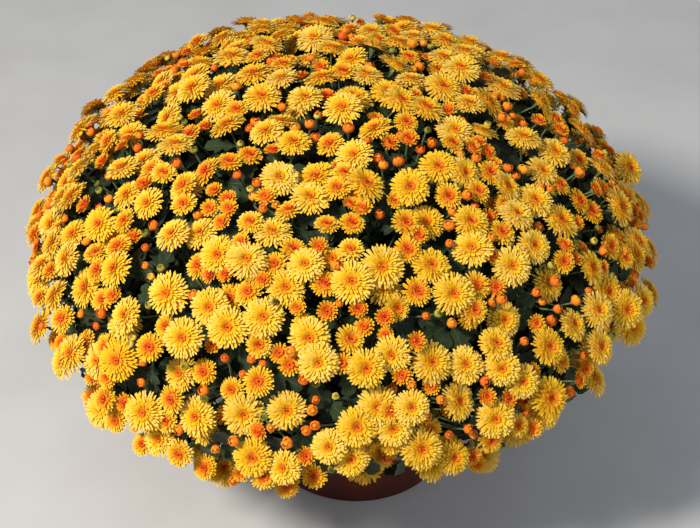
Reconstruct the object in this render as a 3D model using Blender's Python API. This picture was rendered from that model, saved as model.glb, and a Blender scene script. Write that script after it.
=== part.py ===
"""A garden chrysanthemum in its plastic pot: a mound of yellow and orange flowers, 0.70 m across.

Metres, +Z up. The origin is the centre of the pot's base. The plant is a set of leafy branches that
stand in the soil. Each branch is one closed solid: a stem that ends in a knot, and stalks that leave
the knot's faces and carry flower heads, buds and leaves.
"""

import math
import random

import bpy
from mathutils import Vector
from mathutils.bvhtree import BVHTree

# Pot: a wide nursery pan of moulded plastic
POT_HEIGHT = 0.200
POT_BASE_RADIUS = 0.110
POT_RIM_RADIUS = 0.150
POT_WALL = 0.0025
POT_FLOOR = 0.003
POT_SIDES = 24
RIM_BAND = 0.026
RIM_STEP = 0.0038
EDGE_CHAMFER = 0.0012
DRAIN_COUNT = 6
DRAIN_RADIUS = 0.007
DRAIN_RING = 0.078
DRAIN_SIDES = 6
CUT_PAST = 0.010

# Soil
SOIL_TOP = 0.178
HOLE_DEPTH = 0.030
HOLE_PLAY = 0.00075
FIT = 0.0003

# Mound of flowers: two half ellipsoids that meet at its widest ring
MOUND_RADIUS = 0.350
MOUND_MIDDLE = 0.285
MOUND_RISE = 0.245
MOUND_DROP = 0.150
MOUND_LEAN = -0.020
HALVINGS = 30

# Branches
SEED = 43
# How many branches a ring has, its turn from the mound's top, where the first one stands as a share of
# the step between two, and how far their feet are from the pot's axis
RINGS = (
    (1, math.radians(0), 0.0, 0.0),
    (5, math.radians(27), 0.2, 0.036),
    (10, math.radians(52), 0.6, 0.066),
    (12, math.radians(80), 0.3, 0.094),
    (11, math.radians(109), 0.5, 0.118),
)
RING_JITTER = math.radians(3)
STEM_RADIUS = 0.0032
STEM_SIDES = 3
STEM_RISE = 0.005
STEM_STEPS = 3
STEM_PULL = 0.34
STEM_PULL_UP = 0.16
KNOT_PULL = 0.28
KNOT_DEPTH = 0.066
KNOT_RADIUS = 0.0065
KNOT_RINGS = ((6, math.radians(75)), (3, math.radians(42)))
# How far a head is aimed across its branch's part of the surface, by how many corners of its face of the
# knot lie on the knot's waist, and the most that this part reaches
CELL_SHARES = (0.38, 0.77, 1.0)
CELL_LIMIT = 0.090
STALK_RADIUS = 0.0013
LUMP = 0.007
# Room kept round each stalk and head, from which share of the stalk's length on: for the other branches,
# and for the stalk's own branch
CLEARANCE = 0.0006
NEAR_START = 0.08
FAR_START = 0.28

# Flower heads: petal count, smallest and largest radius, how far the stalk ends below the disc,
# and the heights of petal tips, petal notches and centre above the disc, as shares of the radius. The two
# large kinds are wider than life, so that a few hundred of them cover the mound
OPEN = dict(petals=6, radii=(0.0260, 0.0320), neck=0.0100, tip=-0.10, notch=-0.22, centre=0.22)
YOUNG = dict(petals=5, radii=(0.0170, 0.0210), neck=0.0090, tip=0.10, notch=-0.12, centre=0.30)
HALF = dict(petals=0, radii=(0.0085, 0.0110), neck=0.0075, tip=0.0, notch=0.0, centre=0.75)
BUD = dict(petals=0, radii=(0.0048, 0.0066), neck=0.0050, tip=0.0, notch=0.0, centre=0.85)
KINDS = (OPEN, YOUNG, HALF, BUD)
KIND_SHARES = (0.66, 0.14, 0.09, 0.11)
NOTCH_REACH = 0.77
ROUND_SIDES = 4
# Depths below the mound's surface, and how far each try may lean from the aim
LEVELS = (0.003, 0.015, 0.027, 0.039)
LEVEL_JITTER = 0.003
AIM_JITTERS = tuple(math.radians(angle) for angle in (3, 5, 8, 8, 11, 11))
FACE_OUT = 0.6
TILT = 0.22

# Leaves: lobes along one side of the blade, as shares of its length and half width
LEAF_LENGTH = (0.054, 0.068)
LEAF_HALF_WIDTH = 0.40
LEAF_LOBES = ((0.24, 0.70), (0.40, 0.44), (0.64, 1.00))
LEAF_THICKNESS = 0.0022
LEAF_DROOP = 0.10
LEAF_STALK = 0.016
LEAF_CORNER = math.radians(30)
LEAF_MIDDLE = 0.5
LEAVES_PER_BRANCH = 3
LEAF_ANGLES = tuple(math.radians(angle) for angle in (64, 70, 76, 82, 88))
LEAF_LEAN = 0.08

# Dark openings between the flowers: spin about the mound's axis, turn from its top, and radius
GAPS = (
    (math.radians(-79), math.radians(39), 0.024),
    (math.radians(-79), math.radians(49), 0.024),
    (math.radians(-100), math.radians(35), 0.016),
    (math.radians(-101), math.radians(56), 0.018),
    (math.radians(-55), math.radians(70), 0.026),
    (math.radians(-98), math.radians(84), 0.022),
)

POT_COLOUR = (0.135, 0.030, 0.014, 1)
SOIL_COLOUR = (0.030, 0.018, 0.011, 1)
FLOWER_COLOUR = (0.90, 0.45, 0.03, 1)


def clear_scene():
    for item in list(bpy.data.objects):
        bpy.data.objects.remove(item)


def material(name, colour, roughness):
    made = bpy.data.materials.new(name)
    made.use_nodes = True
    shader = made.node_tree.nodes["Principled BSDF"]
    shader.inputs["Base Color"].default_value = colour
    shader.inputs["Roughness"].default_value = roughness
    shader.inputs["Metallic"].default_value = 0
    made.diffuse_color = colour
    return made


def new_object(name, points, edges, faces, surface):
    mesh = bpy.data.meshes.new(name)
    mesh.from_pydata(points, edges, faces)
    mesh.validate()
    if surface:
        mesh.materials.append(surface)
    made = bpy.data.objects.new(name, mesh)
    bpy.context.scene.collection.objects.link(made)
    return made


def turned(name, profile, surface):
    """A profile of radius and height, turned once round the Z axis."""
    edges = [(i, i + 1) for i in range(len(profile) - 1)]
    made = new_object(name, [(r, 0, z) for r, z in profile], edges, [], surface)
    screw = made.modifiers.new("turn", "SCREW")
    screw.steps = screw.render_steps = POT_SIDES
    screw.use_merge_vertices = True
    screw.merge_threshold = 0.00001
    return made


def prism(name, centre, radius, sides, low, high, spin):
    """An upright prism that cuts a hole and is left out of the model."""
    points = []
    for height in (low, high):
        for k in range(sides):
            angle = spin + 2 * math.pi * k / sides
            x = centre[0] + radius * math.cos(angle)
            y = centre[1] + radius * math.sin(angle)
            points.append((x, y, height))
    walls = [(k, (k + 1) % sides, (k + 1) % sides + sides, k + sides) for k in range(sides)]
    caps = [tuple(reversed(range(sides))), tuple(range(sides, 2 * sides))]
    return new_object(name, points, [], walls + caps, None)


def cut_with(target, cutters, name):
    group = bpy.data.collections.new(name)
    bpy.context.scene.collection.children.link(group)
    for cutter in cutters:
        bpy.context.scene.collection.objects.unlink(cutter)
        group.objects.link(cutter)
        cutter.hide_render = True
        cutter.display_type = "WIRE"
    cut = target.modifiers.new("holes", "BOOLEAN")
    cut.operation = "DIFFERENCE"
    cut.operand_type = "COLLECTION"
    cut.collection = group


def wall_radius(height):
    """The outside of the pot's plain wall at a height."""
    top = POT_RIM_RADIUS - RIM_STEP
    share = height / (POT_HEIGHT - RIM_BAND)
    return POT_BASE_RADIUS + share * (top - POT_BASE_RADIUS)


def make_pot():
    band = POT_HEIGHT - RIM_BAND
    inner_rim = POT_RIM_RADIUS - POT_WALL
    profile = (
        (0, POT_FLOOR),
        (wall_radius(POT_FLOOR) - POT_WALL, POT_FLOOR),
        (wall_radius(band) - POT_WALL, band),
        (inner_rim, POT_HEIGHT - EDGE_CHAMFER),
        (inner_rim + POT_WALL / 2, POT_HEIGHT),
        (POT_RIM_RADIUS, POT_HEIGHT - EDGE_CHAMFER),
        (POT_RIM_RADIUS, band + EDGE_CHAMFER),
        (wall_radius(band), band),
        (wall_radius(EDGE_CHAMFER), EDGE_CHAMFER),
        (POT_BASE_RADIUS - EDGE_CHAMFER, 0),
        (0, 0),
    )
    pot = turned("pot", profile, material("pot_plastic", POT_COLOUR, 0.45))
    drains = []
    for k in range(DRAIN_COUNT):
        angle = 2 * math.pi * (k + 0.5) / DRAIN_COUNT
        centre = (DRAIN_RING * math.cos(angle), DRAIN_RING * math.sin(angle))
        name = f"drain_cut_{k + 1}"
        low, high = -CUT_PAST, POT_FLOOR + CUT_PAST
        drains.append(prism(name, centre, DRAIN_RADIUS, DRAIN_SIDES, low, high, angle))
    cut_with(pot, drains, "drain_cuts")


def inside_radius(height):
    """How far the soil reaches at a height, a fit clear of the pot's wall."""
    return wall_radius(height) - POT_WALL - FIT / math.cos(math.pi / POT_SIDES)


def make_soil(branches):
    low = POT_FLOOR + FIT
    band = POT_HEIGHT - RIM_BAND
    step = (inside_radius(band) - inside_radius(low)) / (band - low)
    profile = (
        (0, SOIL_TOP),
        (inside_radius(low) + step * (SOIL_TOP - low), SOIL_TOP),
        (inside_radius(low), low),
        (0, low),
    )
    soil = turned("soil", profile, material("potting_soil", SOIL_COLOUR, 0.95))
    holes = []
    for branch in branches:
        name = branch["name"] + "_hole"
        radius = STEM_RADIUS + HOLE_PLAY
        low, high = SOIL_TOP - HOLE_DEPTH, SOIL_TOP + CUT_PAST
        holes.append(prism(name, branch["foot"], radius, STEM_SIDES, low, high, branch["spin"]))
    cut_with(soil, holes, "stem_holes")


class Solid:
    """A mesh under construction. The corners of its triangles run anticlockwise seen from outside."""

    def __init__(self):
        self.points = []
        self.faces = []

    def add(self, points):
        start = len(self.points)
        self.points.extend(points)
        return list(range(start, len(self.points)))

    def bridge(self, low, high):
        self.faces.extend(strip(low, high))

    def fan(self, loop, tip):
        self.faces.extend(fan(loop, tip))

    def tree(self):
        return BVHTree.FromPolygons(self.points, self.faces)


def strip(low, high):
    """Triangles between two loops that run anticlockwise about the way from low to high."""
    faces = []
    i = j = 0
    m, n = len(low), len(high)
    while i < m or j < n:
        if j == n or (i < m and (i + 1) * n <= (j + 1) * m):
            faces.append((low[i % m], low[(i + 1) % m], high[j % n]))
            i += 1
        else:
            faces.append((low[i % m], high[(j + 1) % n], high[j % n]))
            j += 1
    return faces


def fan(loop, tip):
    return [(a, b, tip) for a, b in zip(loop, loop[1:] + loop[:1])]


def frame_about(axis, towards):
    """Two directions square to the axis, the first as near as it can be to the one given."""
    first = (towards - axis * towards.dot(axis)).normalized()
    return first, axis.cross(first)


def ring(centre, axis, towards, shape):
    """Points at even angles about an axis, from a list of radius and height for each."""
    first, second = frame_about(axis, towards)
    points = []
    for k, (radius, height) in enumerate(shape):
        angle = 2 * math.pi * k / len(shape)
        side = first * math.cos(angle) + second * math.sin(angle)
        points.append(centre + side * radius + axis * height)
    return points


def mound_half(height):
    return MOUND_RISE if height >= 0 else MOUND_DROP


def mound_point(turn, spin):
    half = MOUND_RISE if turn <= math.pi / 2 else MOUND_DROP
    across = MOUND_RADIUS * math.sin(turn)
    x = MOUND_LEAN + across * math.cos(spin)
    return Vector((x, across * math.sin(spin), MOUND_MIDDLE + half * math.cos(turn)))


def mound_normal(point):
    x, y, z = point - Vector((MOUND_LEAN, 0, MOUND_MIDDLE))
    half = mound_half(z)
    return Vector((x / MOUND_RADIUS**2, y / MOUND_RADIUS**2, z / half**2)).normalized()


def mound_reach(start, way):
    """How far the mound's surface is from a point inside it, in one direction."""
    near, far = 0.0, 2 * MOUND_RADIUS
    for _ in range(HALVINGS):
        middle = (near + far) / 2
        x, y, z = start + way * middle - Vector((MOUND_LEAN, 0, MOUND_MIDDLE))
        if (x * x + y * y) / MOUND_RADIUS**2 + (z / mound_half(z)) ** 2 < 1:
            near = middle
        else:
            far = middle
    return near


def stem_path(foot, knot, normal):
    """Points up a stem: straight out of its hole, then curving over to meet the knot along its normal."""
    rise = foot + Vector((0, 0, HOLE_DEPTH + STEM_RISE))
    length = (knot - rise).length
    first = rise + Vector((0, 0, length * (STEM_PULL + STEM_PULL_UP * normal.z)))
    second = knot - normal * (length * KNOT_PULL)
    path = [foot, rise]
    for k in range(1, STEM_STEPS + 1):
        t = k / STEM_STEPS
        a, b, c, d = (1 - t) ** 3, 3 * t * (1 - t) ** 2, 3 * t * t * (1 - t), t**3
        path.append(rise * a + first * b + second * c + knot * d)
    return path


def add_stem(solid, branch):
    """The stem's tube. It returns the loop at its top and the direction that its corners start from."""
    path, normal = branch["path"], branch["normal"]
    towards = Vector((math.cos(branch["spin"]), math.sin(branch["spin"]), 0))
    loop = None
    for k, point in enumerate(path):
        if k < 2:
            axis = Vector((0, 0, 1))
        elif k == len(path) - 1:
            axis = normal
        else:
            axis = (path[k + 1] - path[k - 1]).normalized()
        towards = frame_about(axis, towards)[0]
        corners = solid.add(ring(point, axis, towards, [(STEM_RADIUS, 0)] * STEM_SIDES))
        if loop is None:
            solid.faces.append(tuple(reversed(corners)))
        else:
            solid.bridge(loop, corners)
        loop = corners
    return loop, towards


def add_knot(solid, branch, loop, towards):
    """The knot's points, with its faces for flower stalks and for leaves, none of them closed yet."""
    centre, normal = branch["centre"], branch["normal"]
    loops = [loop]
    for sides, turn in KNOT_RINGS:
        shape = [(KNOT_RADIUS * math.sin(turn), KNOT_RADIUS * math.cos(turn))] * sides
        loops.append(solid.add(ring(centre, normal, towards, shape)))
    tip = solid.add([centre + normal * KNOT_RADIUS])[0]
    waist = set(loops[1])
    low = strip(loops[0], loops[1])
    branch["flower_faces"] = strip(loops[1], loops[2]) + fan(loops[2], tip)
    branch["shares"] = [CELL_SHARES[len(waist & set(face))] for face in branch["flower_faces"]]
    branch["leaf_faces"] = [(b, c, a) for a, b, c in low if b in waist and c in waist]
    branch["other_faces"] = [face for face in low if len(waist & set(face)) < 2]


def make_branch(name, turn, spin, foot_ring, draw):
    top = mound_point(turn, spin)
    normal = mound_normal(top)
    foot = Vector((foot_ring * math.cos(spin), foot_ring * math.sin(spin), SOIL_TOP - HOLE_DEPTH + FIT))
    centre = top - normal * KNOT_DEPTH
    path = stem_path(foot, centre - normal * KNOT_RADIUS, normal)
    branch = dict(name=name, spin=spin, top=top, normal=normal, foot=foot, centre=centre, path=path)
    branch["push"] = draw.uniform(-LUMP, LUMP)
    branch["solid"] = Solid()
    branch["taken"] = set()
    branch["heads"] = []
    add_knot(branch["solid"], branch, *add_stem(branch["solid"], branch))
    return branch


def make_branches(draw):
    branches = []
    for count, turn, first, foot_ring in RINGS:
        for k in range(count):
            spin = 2 * math.pi * (k + first) / count + draw.uniform(-RING_JITTER, RING_JITTER)
            lean = turn + draw.uniform(-RING_JITTER, RING_JITTER)
            name = f"flower_branch_{len(branches) + 1:02d}"
            branches.append(make_branch(name, lean, spin, foot_ring, draw))
    return branches


def middle_of(solid, face):
    return sum((solid.points[i] for i in face), Vector()) / 3


def rim_shape(kind, radius):
    """The head's rim: petal tips with notches between them, or the plain waist of a bud."""
    if not kind["petals"]:
        return [(radius, 0)] * ROUND_SIDES
    tip = (radius, radius * kind["tip"])
    notch = (radius * NOTCH_REACH, radius * kind["notch"])
    return [tip, notch] * kind["petals"]


def add_head(solid, loop, towards, head, grow=0.0):
    """A flower head or bud that stands on a loop of three corners."""
    kind, radius, axis = head["kind"], head["radius"] + grow, head["axis"]
    rim = solid.add(ring(head["place"], axis, towards, rim_shape(kind, radius)))
    solid.bridge(loop, rim)
    centre = head["place"] + axis * (head["radius"] * kind["centre"] + grow)
    solid.fan(rim, solid.add([centre])[0])


def stalk_ends(solid, face, end, grow=0.0):
    """A stalk's three corners on the knot, those at its far end, and the way that the first one faces."""
    middle = middle_of(solid, face)
    way = (end - middle).normalized()
    first, second = frame_about(way, solid.points[face[0]] - middle)
    turned = 0.0
    for k in (1, 2):
        spoke = solid.points[face[k]] - middle
        turned += math.atan2(spoke.dot(second), spoke.dot(first)) % (2 * math.pi) - 2 * math.pi * k / 3
    towards = first * math.cos(turned / 3) + second * math.sin(turned / 3)
    return ring(end, way, towards, [(STALK_RADIUS + grow, 0)] * 3), towards


def add_stalk_and_head(solid, face, head):
    neck = head["place"] - head["axis"] * head["kind"]["neck"]
    corners, towards = stalk_ends(solid, face, neck)
    loop = solid.add(corners)
    solid.bridge(face, loop)
    add_head(solid, loop, towards, head)


def outer_stalk(made, solid, face, end, start):
    """A stalk from a share of its length on, slightly larger, to test what it would touch."""
    corners, towards = stalk_ends(solid, face, end, CLEARANCE)
    begin = [solid.points[i] + (corner - solid.points[i]) * start for i, corner in zip(face, corners)]
    middle = sum(begin, Vector()) / 3
    low = made.add([point + (point - middle).normalized() * CLEARANCE for point in begin])
    high = made.add(corners)
    made.bridge(low, high)
    return high, towards


def guard_of_head(branch, face, head):
    """A slightly larger head with its stalk, to test what it would touch."""
    neck = head["place"] - head["axis"] * (head["kind"]["neck"] + CLEARANCE)
    solids = []
    for start in (NEAR_START, FAR_START):
        made = Solid()
        loop, towards = outer_stalk(made, branch["solid"], face, neck, start)
        add_head(made, loop, towards, head, CLEARANCE)
        solids.append(made)
    return guard(branch, *solids)


def guard(branch, whole, outer):
    """What others must keep clear of: all of it for another branch, its outer part for its own."""
    middle = sum(whole.points, Vector()) / len(whole.points)
    reach = max((point - middle).length for point in whole.points)
    return dict(owner=branch["name"], middle=middle, reach=reach, whole=whole.tree(), outer=outer.tree())


def touches(one, others):
    for other in others:
        apart = (one["middle"] - other["middle"]).length
        part = "outer" if one["owner"] == other["owner"] else "whole"
        if apart < one["reach"] + other["reach"] and one[part].overlap(other[part]):
            return True
    return False


def crosses_itself(solid, start):
    """Whether the faces from one index on cross an earlier face that they share no corner with."""
    earlier = BVHTree.FromPolygons(solid.points, solid.faces[:start])
    later = BVHTree.FromPolygons(solid.points, solid.faces[start:])
    pairs = later.overlap(earlier)
    return any(not set(solid.faces[start + i]) & set(solid.faces[j]) for i, j in pairs)


def grown(branch, face, grow, item):
    """Adds a stalk and what it carries to the branch's solid, unless it would cross what is there."""
    solid = branch["solid"]
    points, faces = len(solid.points), len(solid.faces)
    grow(solid, face, item)
    if crosses_itself(solid, faces):
        del solid.points[points:]
        del solid.faces[faces:]
        return False
    branch["taken"].add(face)
    return True


def in_gap(place):
    for spin, turn, radius in GAPS:
        if (place - mound_point(turn, spin)).length < radius:
            return True
    return False


def jittered(way, draw, amount):
    first, second = frame_about(way, way.orthogonal())
    shift = first * draw.uniform(-amount, amount) + second * draw.uniform(-amount, amount)
    return (way + shift).normalized()


def cell_reach(branch, out, branches):
    """How far a branch's own part of the surface goes one way, halfway to the branches beside it."""
    reach = CELL_LIMIT
    for other in branches:
        apart = other["top"] - branch["top"]
        along = apart.dot(out)
        if along > 0:
            reach = min(reach, apart.length_squared / 2 / along)
    return reach


def head_aims(branch, straight, draw):
    """Ways from the knot, each with its distance to the surface, the way a head faces and if it's a gap."""
    aims = []
    for amount in AIM_JITTERS:
        way = jittered(straight, draw, amount)
        reach = mound_reach(branch["centre"], way) + branch["push"]
        surface = branch["centre"] + way * reach
        facing = (mound_normal(surface) * FACE_OUT + way * (1 - FACE_OUT)).normalized()
        aims.append((way, reach, jittered(facing, draw, TILT), in_gap(surface)))
    return aims


def head_choices(branch, face, across, branches, draw):
    """What could stand on a knot's face: the drawn kind at each aim and level, then the smaller kinds."""
    out = frame_about(branch["normal"], middle_of(branch["solid"], face) - branch["centre"])[0]
    across *= cell_reach(branch, out, branches)
    aims = head_aims(branch, (branch["normal"] * KNOT_DEPTH + out * across).normalized(), draw)
    first = draw.choices(range(len(KINDS)), KIND_SHARES)[0]
    size, shift = draw.random(), draw.uniform(-LEVEL_JITTER, LEVEL_JITTER)
    for kind in KINDS[first:]:
        small, large = kind["radii"]
        radius = small + size * (large - small)
        for way, reach, axis, gap in aims:
            if gap and kind is not BUD:
                continue
            for level in LEVELS:
                place = branch["centre"] + way * (reach - level - shift)
                yield dict(kind=kind, radius=radius, axis=axis, place=place)


def place_heads(branches, draw):
    """Heads on every knot, in a mixed order. Each takes the first choice that touches nothing."""
    taken = []
    for branch in branches:
        stem = Solid()
        add_stem(stem, branch)
        taken.append(guard(branch, stem, stem))
    slots = []
    for branch in branches:
        slots += [(branch, face, share) for face, share in zip(branch["flower_faces"], branch["shares"])]
    draw.shuffle(slots)
    for branch, face, share in slots:
        for head in head_choices(branch, face, share, branches, draw):
            shape = guard_of_head(branch, face, head)
            if not touches(shape, taken) and grown(branch, face, add_stalk_and_head, head):
                taken.append(shape)
                branch["heads"].append(head)
                break
    return taken


def leaf_outline(base, out, side, up, length):
    """The blade's edge from its base round the tip and back, with lobes cut into both sides."""
    half = length * LEAF_HALF_WIDTH

    def at(along, across):
        droop = LEAF_DROOP * length * (along**2 + 0.5 * abs(across))
        return base + out * (along * length) + side * (across * half) - up * droop

    near = [at(along, -across) for along, across in LEAF_LOBES]
    back = [at(along, across) for along, across in reversed(LEAF_LOBES)]
    return near + [at(1, 0)] + back


def leaf_base(leaf):
    """The three corners where a leaf's stalk meets its blade: right, left and below."""
    side = leaf["up"].cross(leaf["out"])
    towards = side * math.cos(LEAF_CORNER) + leaf["up"] * math.sin(LEAF_CORNER)
    return ring(leaf["base"], leaf["out"], towards, [(STALK_RADIUS, 0)] * 3)


def add_blade(solid, loop, leaf):
    """A leaf's blade: two fans of triangles share the lobed edge, a blade's thickness apart."""
    out, up, length = leaf["out"], leaf["up"], leaf["length"]
    right, left, below = loop
    edge = solid.add(leaf_outline(leaf["base"], out, up.cross(out), up, length))
    middle = leaf["base"] + out * (length * LEAF_MIDDLE)
    upper, lower = solid.add([middle, middle - up * LEAF_THICKNESS])
    solid.fan([right, left] + edge, upper)
    solid.fan([left, below, right] + edge[::-1], lower)


def add_leaf(solid, face, leaf):
    loop = solid.add(leaf_base(leaf))
    solid.bridge(face, loop)
    add_blade(solid, loop, leaf)


def guard_of_leaf(branch, face, leaf):
    made = Solid()
    outer_stalk(made, branch["solid"], face, leaf["base"], FAR_START)
    add_blade(made, made.add(leaf_base(leaf)), leaf)
    return guard(branch, made, made)


def leaf_choices(branch, face, draw):
    """A leaf of one size at each angle from the branch's own way up."""
    spoke = middle_of(branch["solid"], face) - branch["centre"]
    flat = frame_about(branch["normal"], spoke)[0]
    length, lean = draw.uniform(*LEAF_LENGTH), draw.uniform(-LEAF_LEAN, LEAF_LEAN)
    for angle in LEAF_ANGLES:
        out = branch["normal"] * math.cos(angle + lean) + flat * math.sin(angle + lean)
        up = frame_about(out, branch["normal"])[0]
        base = branch["centre"] + out * LEAF_STALK
        yield dict(base=base, out=out, up=up, length=length)


def place_leaves(branches, taken, draw):
    """Leaves low on each knot, each at the first angle where it touches nothing."""
    for branch in branches:
        faces = branch["leaf_faces"][:: len(branch["leaf_faces"]) // LEAVES_PER_BRANCH]
        for face in faces[:LEAVES_PER_BRANCH]:
            for leaf in leaf_choices(branch, face, draw):
                shape = guard_of_leaf(branch, face, leaf)
                if not touches(shape, taken) and grown(branch, face, add_leaf, leaf):
                    taken.append(shape)
                    break


def close_knots(branches):
    for branch in branches:
        faces = branch["flower_faces"] + branch["leaf_faces"] + branch["other_faces"]
        branch["solid"].faces.extend(face for face in faces if face not in branch["taken"])


def make_plant():
    draw = random.Random(SEED)
    branches = make_branches(draw)
    taken = place_heads(branches, draw)
    place_leaves(branches, taken, draw)
    close_knots(branches)
    for branch in branches:
        colour = material(branch["name"] + "_colour", FLOWER_COLOUR, 0.7)
        new_object(branch["name"], branch["solid"].points, [], branch["solid"].faces, colour)
    return branches


def main():
    clear_scene()
    make_pot()
    make_soil(make_plant())


main()
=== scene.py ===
"""The looks of a garden chrysanthemum in its plastic pot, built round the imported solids.

Metres, +Z up, in the solids' own frame. The rule that places the branches, heads and leaves is the one
that made the solids, with the same numbers, so each solid head has its fine bloom, moved a little where
the flowers crowd together or their hem is higher. More blooms, buds and leaves fill the room between them.
"""

import math
import random

import bpy
import numpy as np
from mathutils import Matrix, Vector, noise
from mathutils.bvhtree import BVHTree


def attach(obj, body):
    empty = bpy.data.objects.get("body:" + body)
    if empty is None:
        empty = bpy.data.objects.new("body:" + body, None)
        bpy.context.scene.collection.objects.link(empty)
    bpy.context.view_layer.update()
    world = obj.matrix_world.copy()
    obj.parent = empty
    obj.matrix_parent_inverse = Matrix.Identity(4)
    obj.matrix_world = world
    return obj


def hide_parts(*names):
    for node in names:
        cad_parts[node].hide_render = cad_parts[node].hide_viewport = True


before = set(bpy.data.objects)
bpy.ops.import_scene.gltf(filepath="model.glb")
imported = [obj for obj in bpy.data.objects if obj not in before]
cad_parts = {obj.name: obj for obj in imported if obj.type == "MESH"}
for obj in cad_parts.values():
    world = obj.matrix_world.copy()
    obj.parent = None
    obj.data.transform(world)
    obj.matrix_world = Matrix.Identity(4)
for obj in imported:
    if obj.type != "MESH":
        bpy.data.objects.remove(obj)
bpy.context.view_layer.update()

# Pot: a wide nursery pan of moulded plastic
POT_HEIGHT = 0.200
POT_BASE_RADIUS = 0.110
POT_RIM_RADIUS = 0.150
POT_WALL = 0.0025
POT_FLOOR = 0.003
RIM_BAND = 0.026
RIM_STEP = 0.0038
DRAIN_COUNT = 6
DRAIN_RADIUS = 0.007
DRAIN_RING = 0.078

# Soil
SOIL_TOP = 0.178
HOLE_DEPTH = 0.030
FIT = 0.0003

# Mound of flowers: two half ellipsoids that meet at its widest ring
MOUND_RADIUS = 0.350
MOUND_MIDDLE = 0.285
MOUND_RISE = 0.245
MOUND_DROP = 0.150
MOUND_LEAN = -0.020
MOUND_CENTRE = (MOUND_LEAN, 0, MOUND_MIDDLE)
HALVINGS = 30

# Branches
SEED = 43
# How many branches a ring has, its turn from the mound's top in degrees, where the first one stands as a
# share of the step between two, and how far their feet are from the pot's axis
RINGS = (
    (1, 0, 0.0, 0.0), (5, 27, 0.2, 0.036), (10, 52, 0.6, 0.066), (12, 80, 0.3, 0.094), (11, 109, 0.5, 0.118),
)
RING_JITTER = math.radians(3)
STEM_RADIUS = 0.0032
STEM_SIDES = 3
STEM_RISE = 0.005
STEM_STEPS = 3
STEM_PULL = 0.34
STEM_PULL_UP = 0.16
KNOT_PULL = 0.28
KNOT_DEPTH = 0.066
KNOT_RADIUS = 0.0065
KNOT_RINGS = ((6, math.radians(75)), (3, math.radians(42)))
# How far a head is aimed across its branch's part of the surface, by how many corners of its face of the
# knot lie on the knot's waist, and the most that this part reaches
CELL_SHARES = (0.38, 0.77, 1.0)
CELL_LIMIT = 0.090
STALK_RADIUS = 0.0013
LUMP = 0.007
# Room kept round each stalk and head, from which share of the stalk's length on: for the other branches,
# and for the stalk's own branch
CLEARANCE = 0.0006
NEAR_START = 0.08
FAR_START = 0.28

# Flower heads: petal count, smallest and largest radius, how far the stalk ends below the disc,
# and the heights of petal tips, petal notches and centre above the disc, as shares of the radius. The two
# large kinds are wider than life, so that a few hundred of them cover the mound
OPEN = dict(petals=6, radii=(0.0260, 0.0320), neck=0.0100, tip=-0.10, notch=-0.22, centre=0.22)
YOUNG = dict(petals=5, radii=(0.0170, 0.0210), neck=0.0090, tip=0.10, notch=-0.12, centre=0.30)
HALF = dict(petals=0, radii=(0.0085, 0.0110), neck=0.0075, tip=0.0, notch=0.0, centre=0.75)
BUD = dict(petals=0, radii=(0.0048, 0.0066), neck=0.0050, tip=0.0, notch=0.0, centre=0.85)
KINDS = (OPEN, YOUNG, HALF, BUD)
KIND_SHARES = (0.66, 0.14, 0.09, 0.11)
NOTCH_REACH = 0.77
ROUND_SIDES = 4
# Depths below the mound's surface, and how far each try may lean from the aim
LEVELS = (0.003, 0.015, 0.027, 0.039)
LEVEL_JITTER = 0.003
AIM_JITTERS = tuple(math.radians(angle) for angle in (3, 5, 8, 8, 11, 11))
FACE_OUT = 0.6
TILT = 0.22

# Leaves: lobes along one side of the blade, as shares of its length and half width
LEAF_LENGTH = (0.054, 0.068)
LEAF_HALF_WIDTH = 0.40
LEAF_LOBES = ((0.24, 0.70), (0.40, 0.44), (0.64, 1.00))
LEAF_THICKNESS = 0.0022
LEAF_DROOP = 0.10
LEAF_STALK = 0.016
LEAF_CORNER = math.radians(30)
LEAF_MIDDLE = 0.5
LEAVES_PER_BRANCH = 3
LEAF_ANGLES = tuple(math.radians(angle) for angle in (64, 70, 76, 82, 88))
LEAF_LEAN = 0.08

# Dark openings between the flowers: their spin about the mound's axis and their turn from its top in
# degrees, and their radius
GAPS = (
    (-79, 39, 0.024), (-79, 49, 0.024), (-100, 35, 0.016),
    (-101, 56, 0.018), (-55, 70, 0.026), (-98, 84, 0.022),
)

# Fine blooms: the solid heads are wider than life, and these are the shares of their radius that the fine
# ones have, in the order of KINDS
LIFE = (0.71, 0.77, 1.0, 1.0)
# How much a solid head's axis turns up to the light, and how far it points up where it stays as it is
HEAD_LIFT = 0.90
LIFT_BELOW = 0.72
# Places of three of the kinds in FORMS
OPEN_BLOOM, ORANGE_BUD, GREEN_BUD = 0, 3, 4
# Each kind's warmth: its mean and spread round its layers' own
WARMTHS = ((0.0, 0.035), (0.0, 0.040), (-0.02, 0.050), (-0.08, 0.090), (0.0, 0.030))
# Layers of petals from the rim to the middle: how many, their length and how far from the middle they
# start as shares of the bloom's radius, their angle above the disc at the base and at the tip in degrees,
# their half width, how orange they are, and their net in PETAL_NETS
OPEN_LAYERS = (
    (33, 0.96, 0.07, 5, -8, 0.00122, 0.085, 0),
    (33, 0.90, 0.07, 12, -2, 0.00122, 0.080, 2),
    (30, 0.80, 0.06, 22, 6, 0.00118, 0.085, 2),
    (26, 0.66, 0.05, 33, 17, 0.00114, 0.11, 2),
    (21, 0.51, 0.04, 45, 32, 0.00112, 0.19, 2),
    (15, 0.36, 0.03, 58, 58, 0.00104, 0.40, 3),
    (10, 0.24, 0.01, 74, 108, 0.00096, 0.62, 3),
)
YOUNG_LAYERS = (
    (26, 0.96, 0.08, 14, 2, 0.00116, 0.19, 0),
    (25, 0.86, 0.08, 26, 13, 0.00112, 0.22, 2),
    (21, 0.70, 0.07, 40, 28, 0.00106, 0.35, 2),
    (16, 0.52, 0.05, 56, 56, 0.00100, 0.58, 3),
    (10, 0.36, 0.03, 74, 110, 0.00094, 0.75, 3),
)
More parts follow.
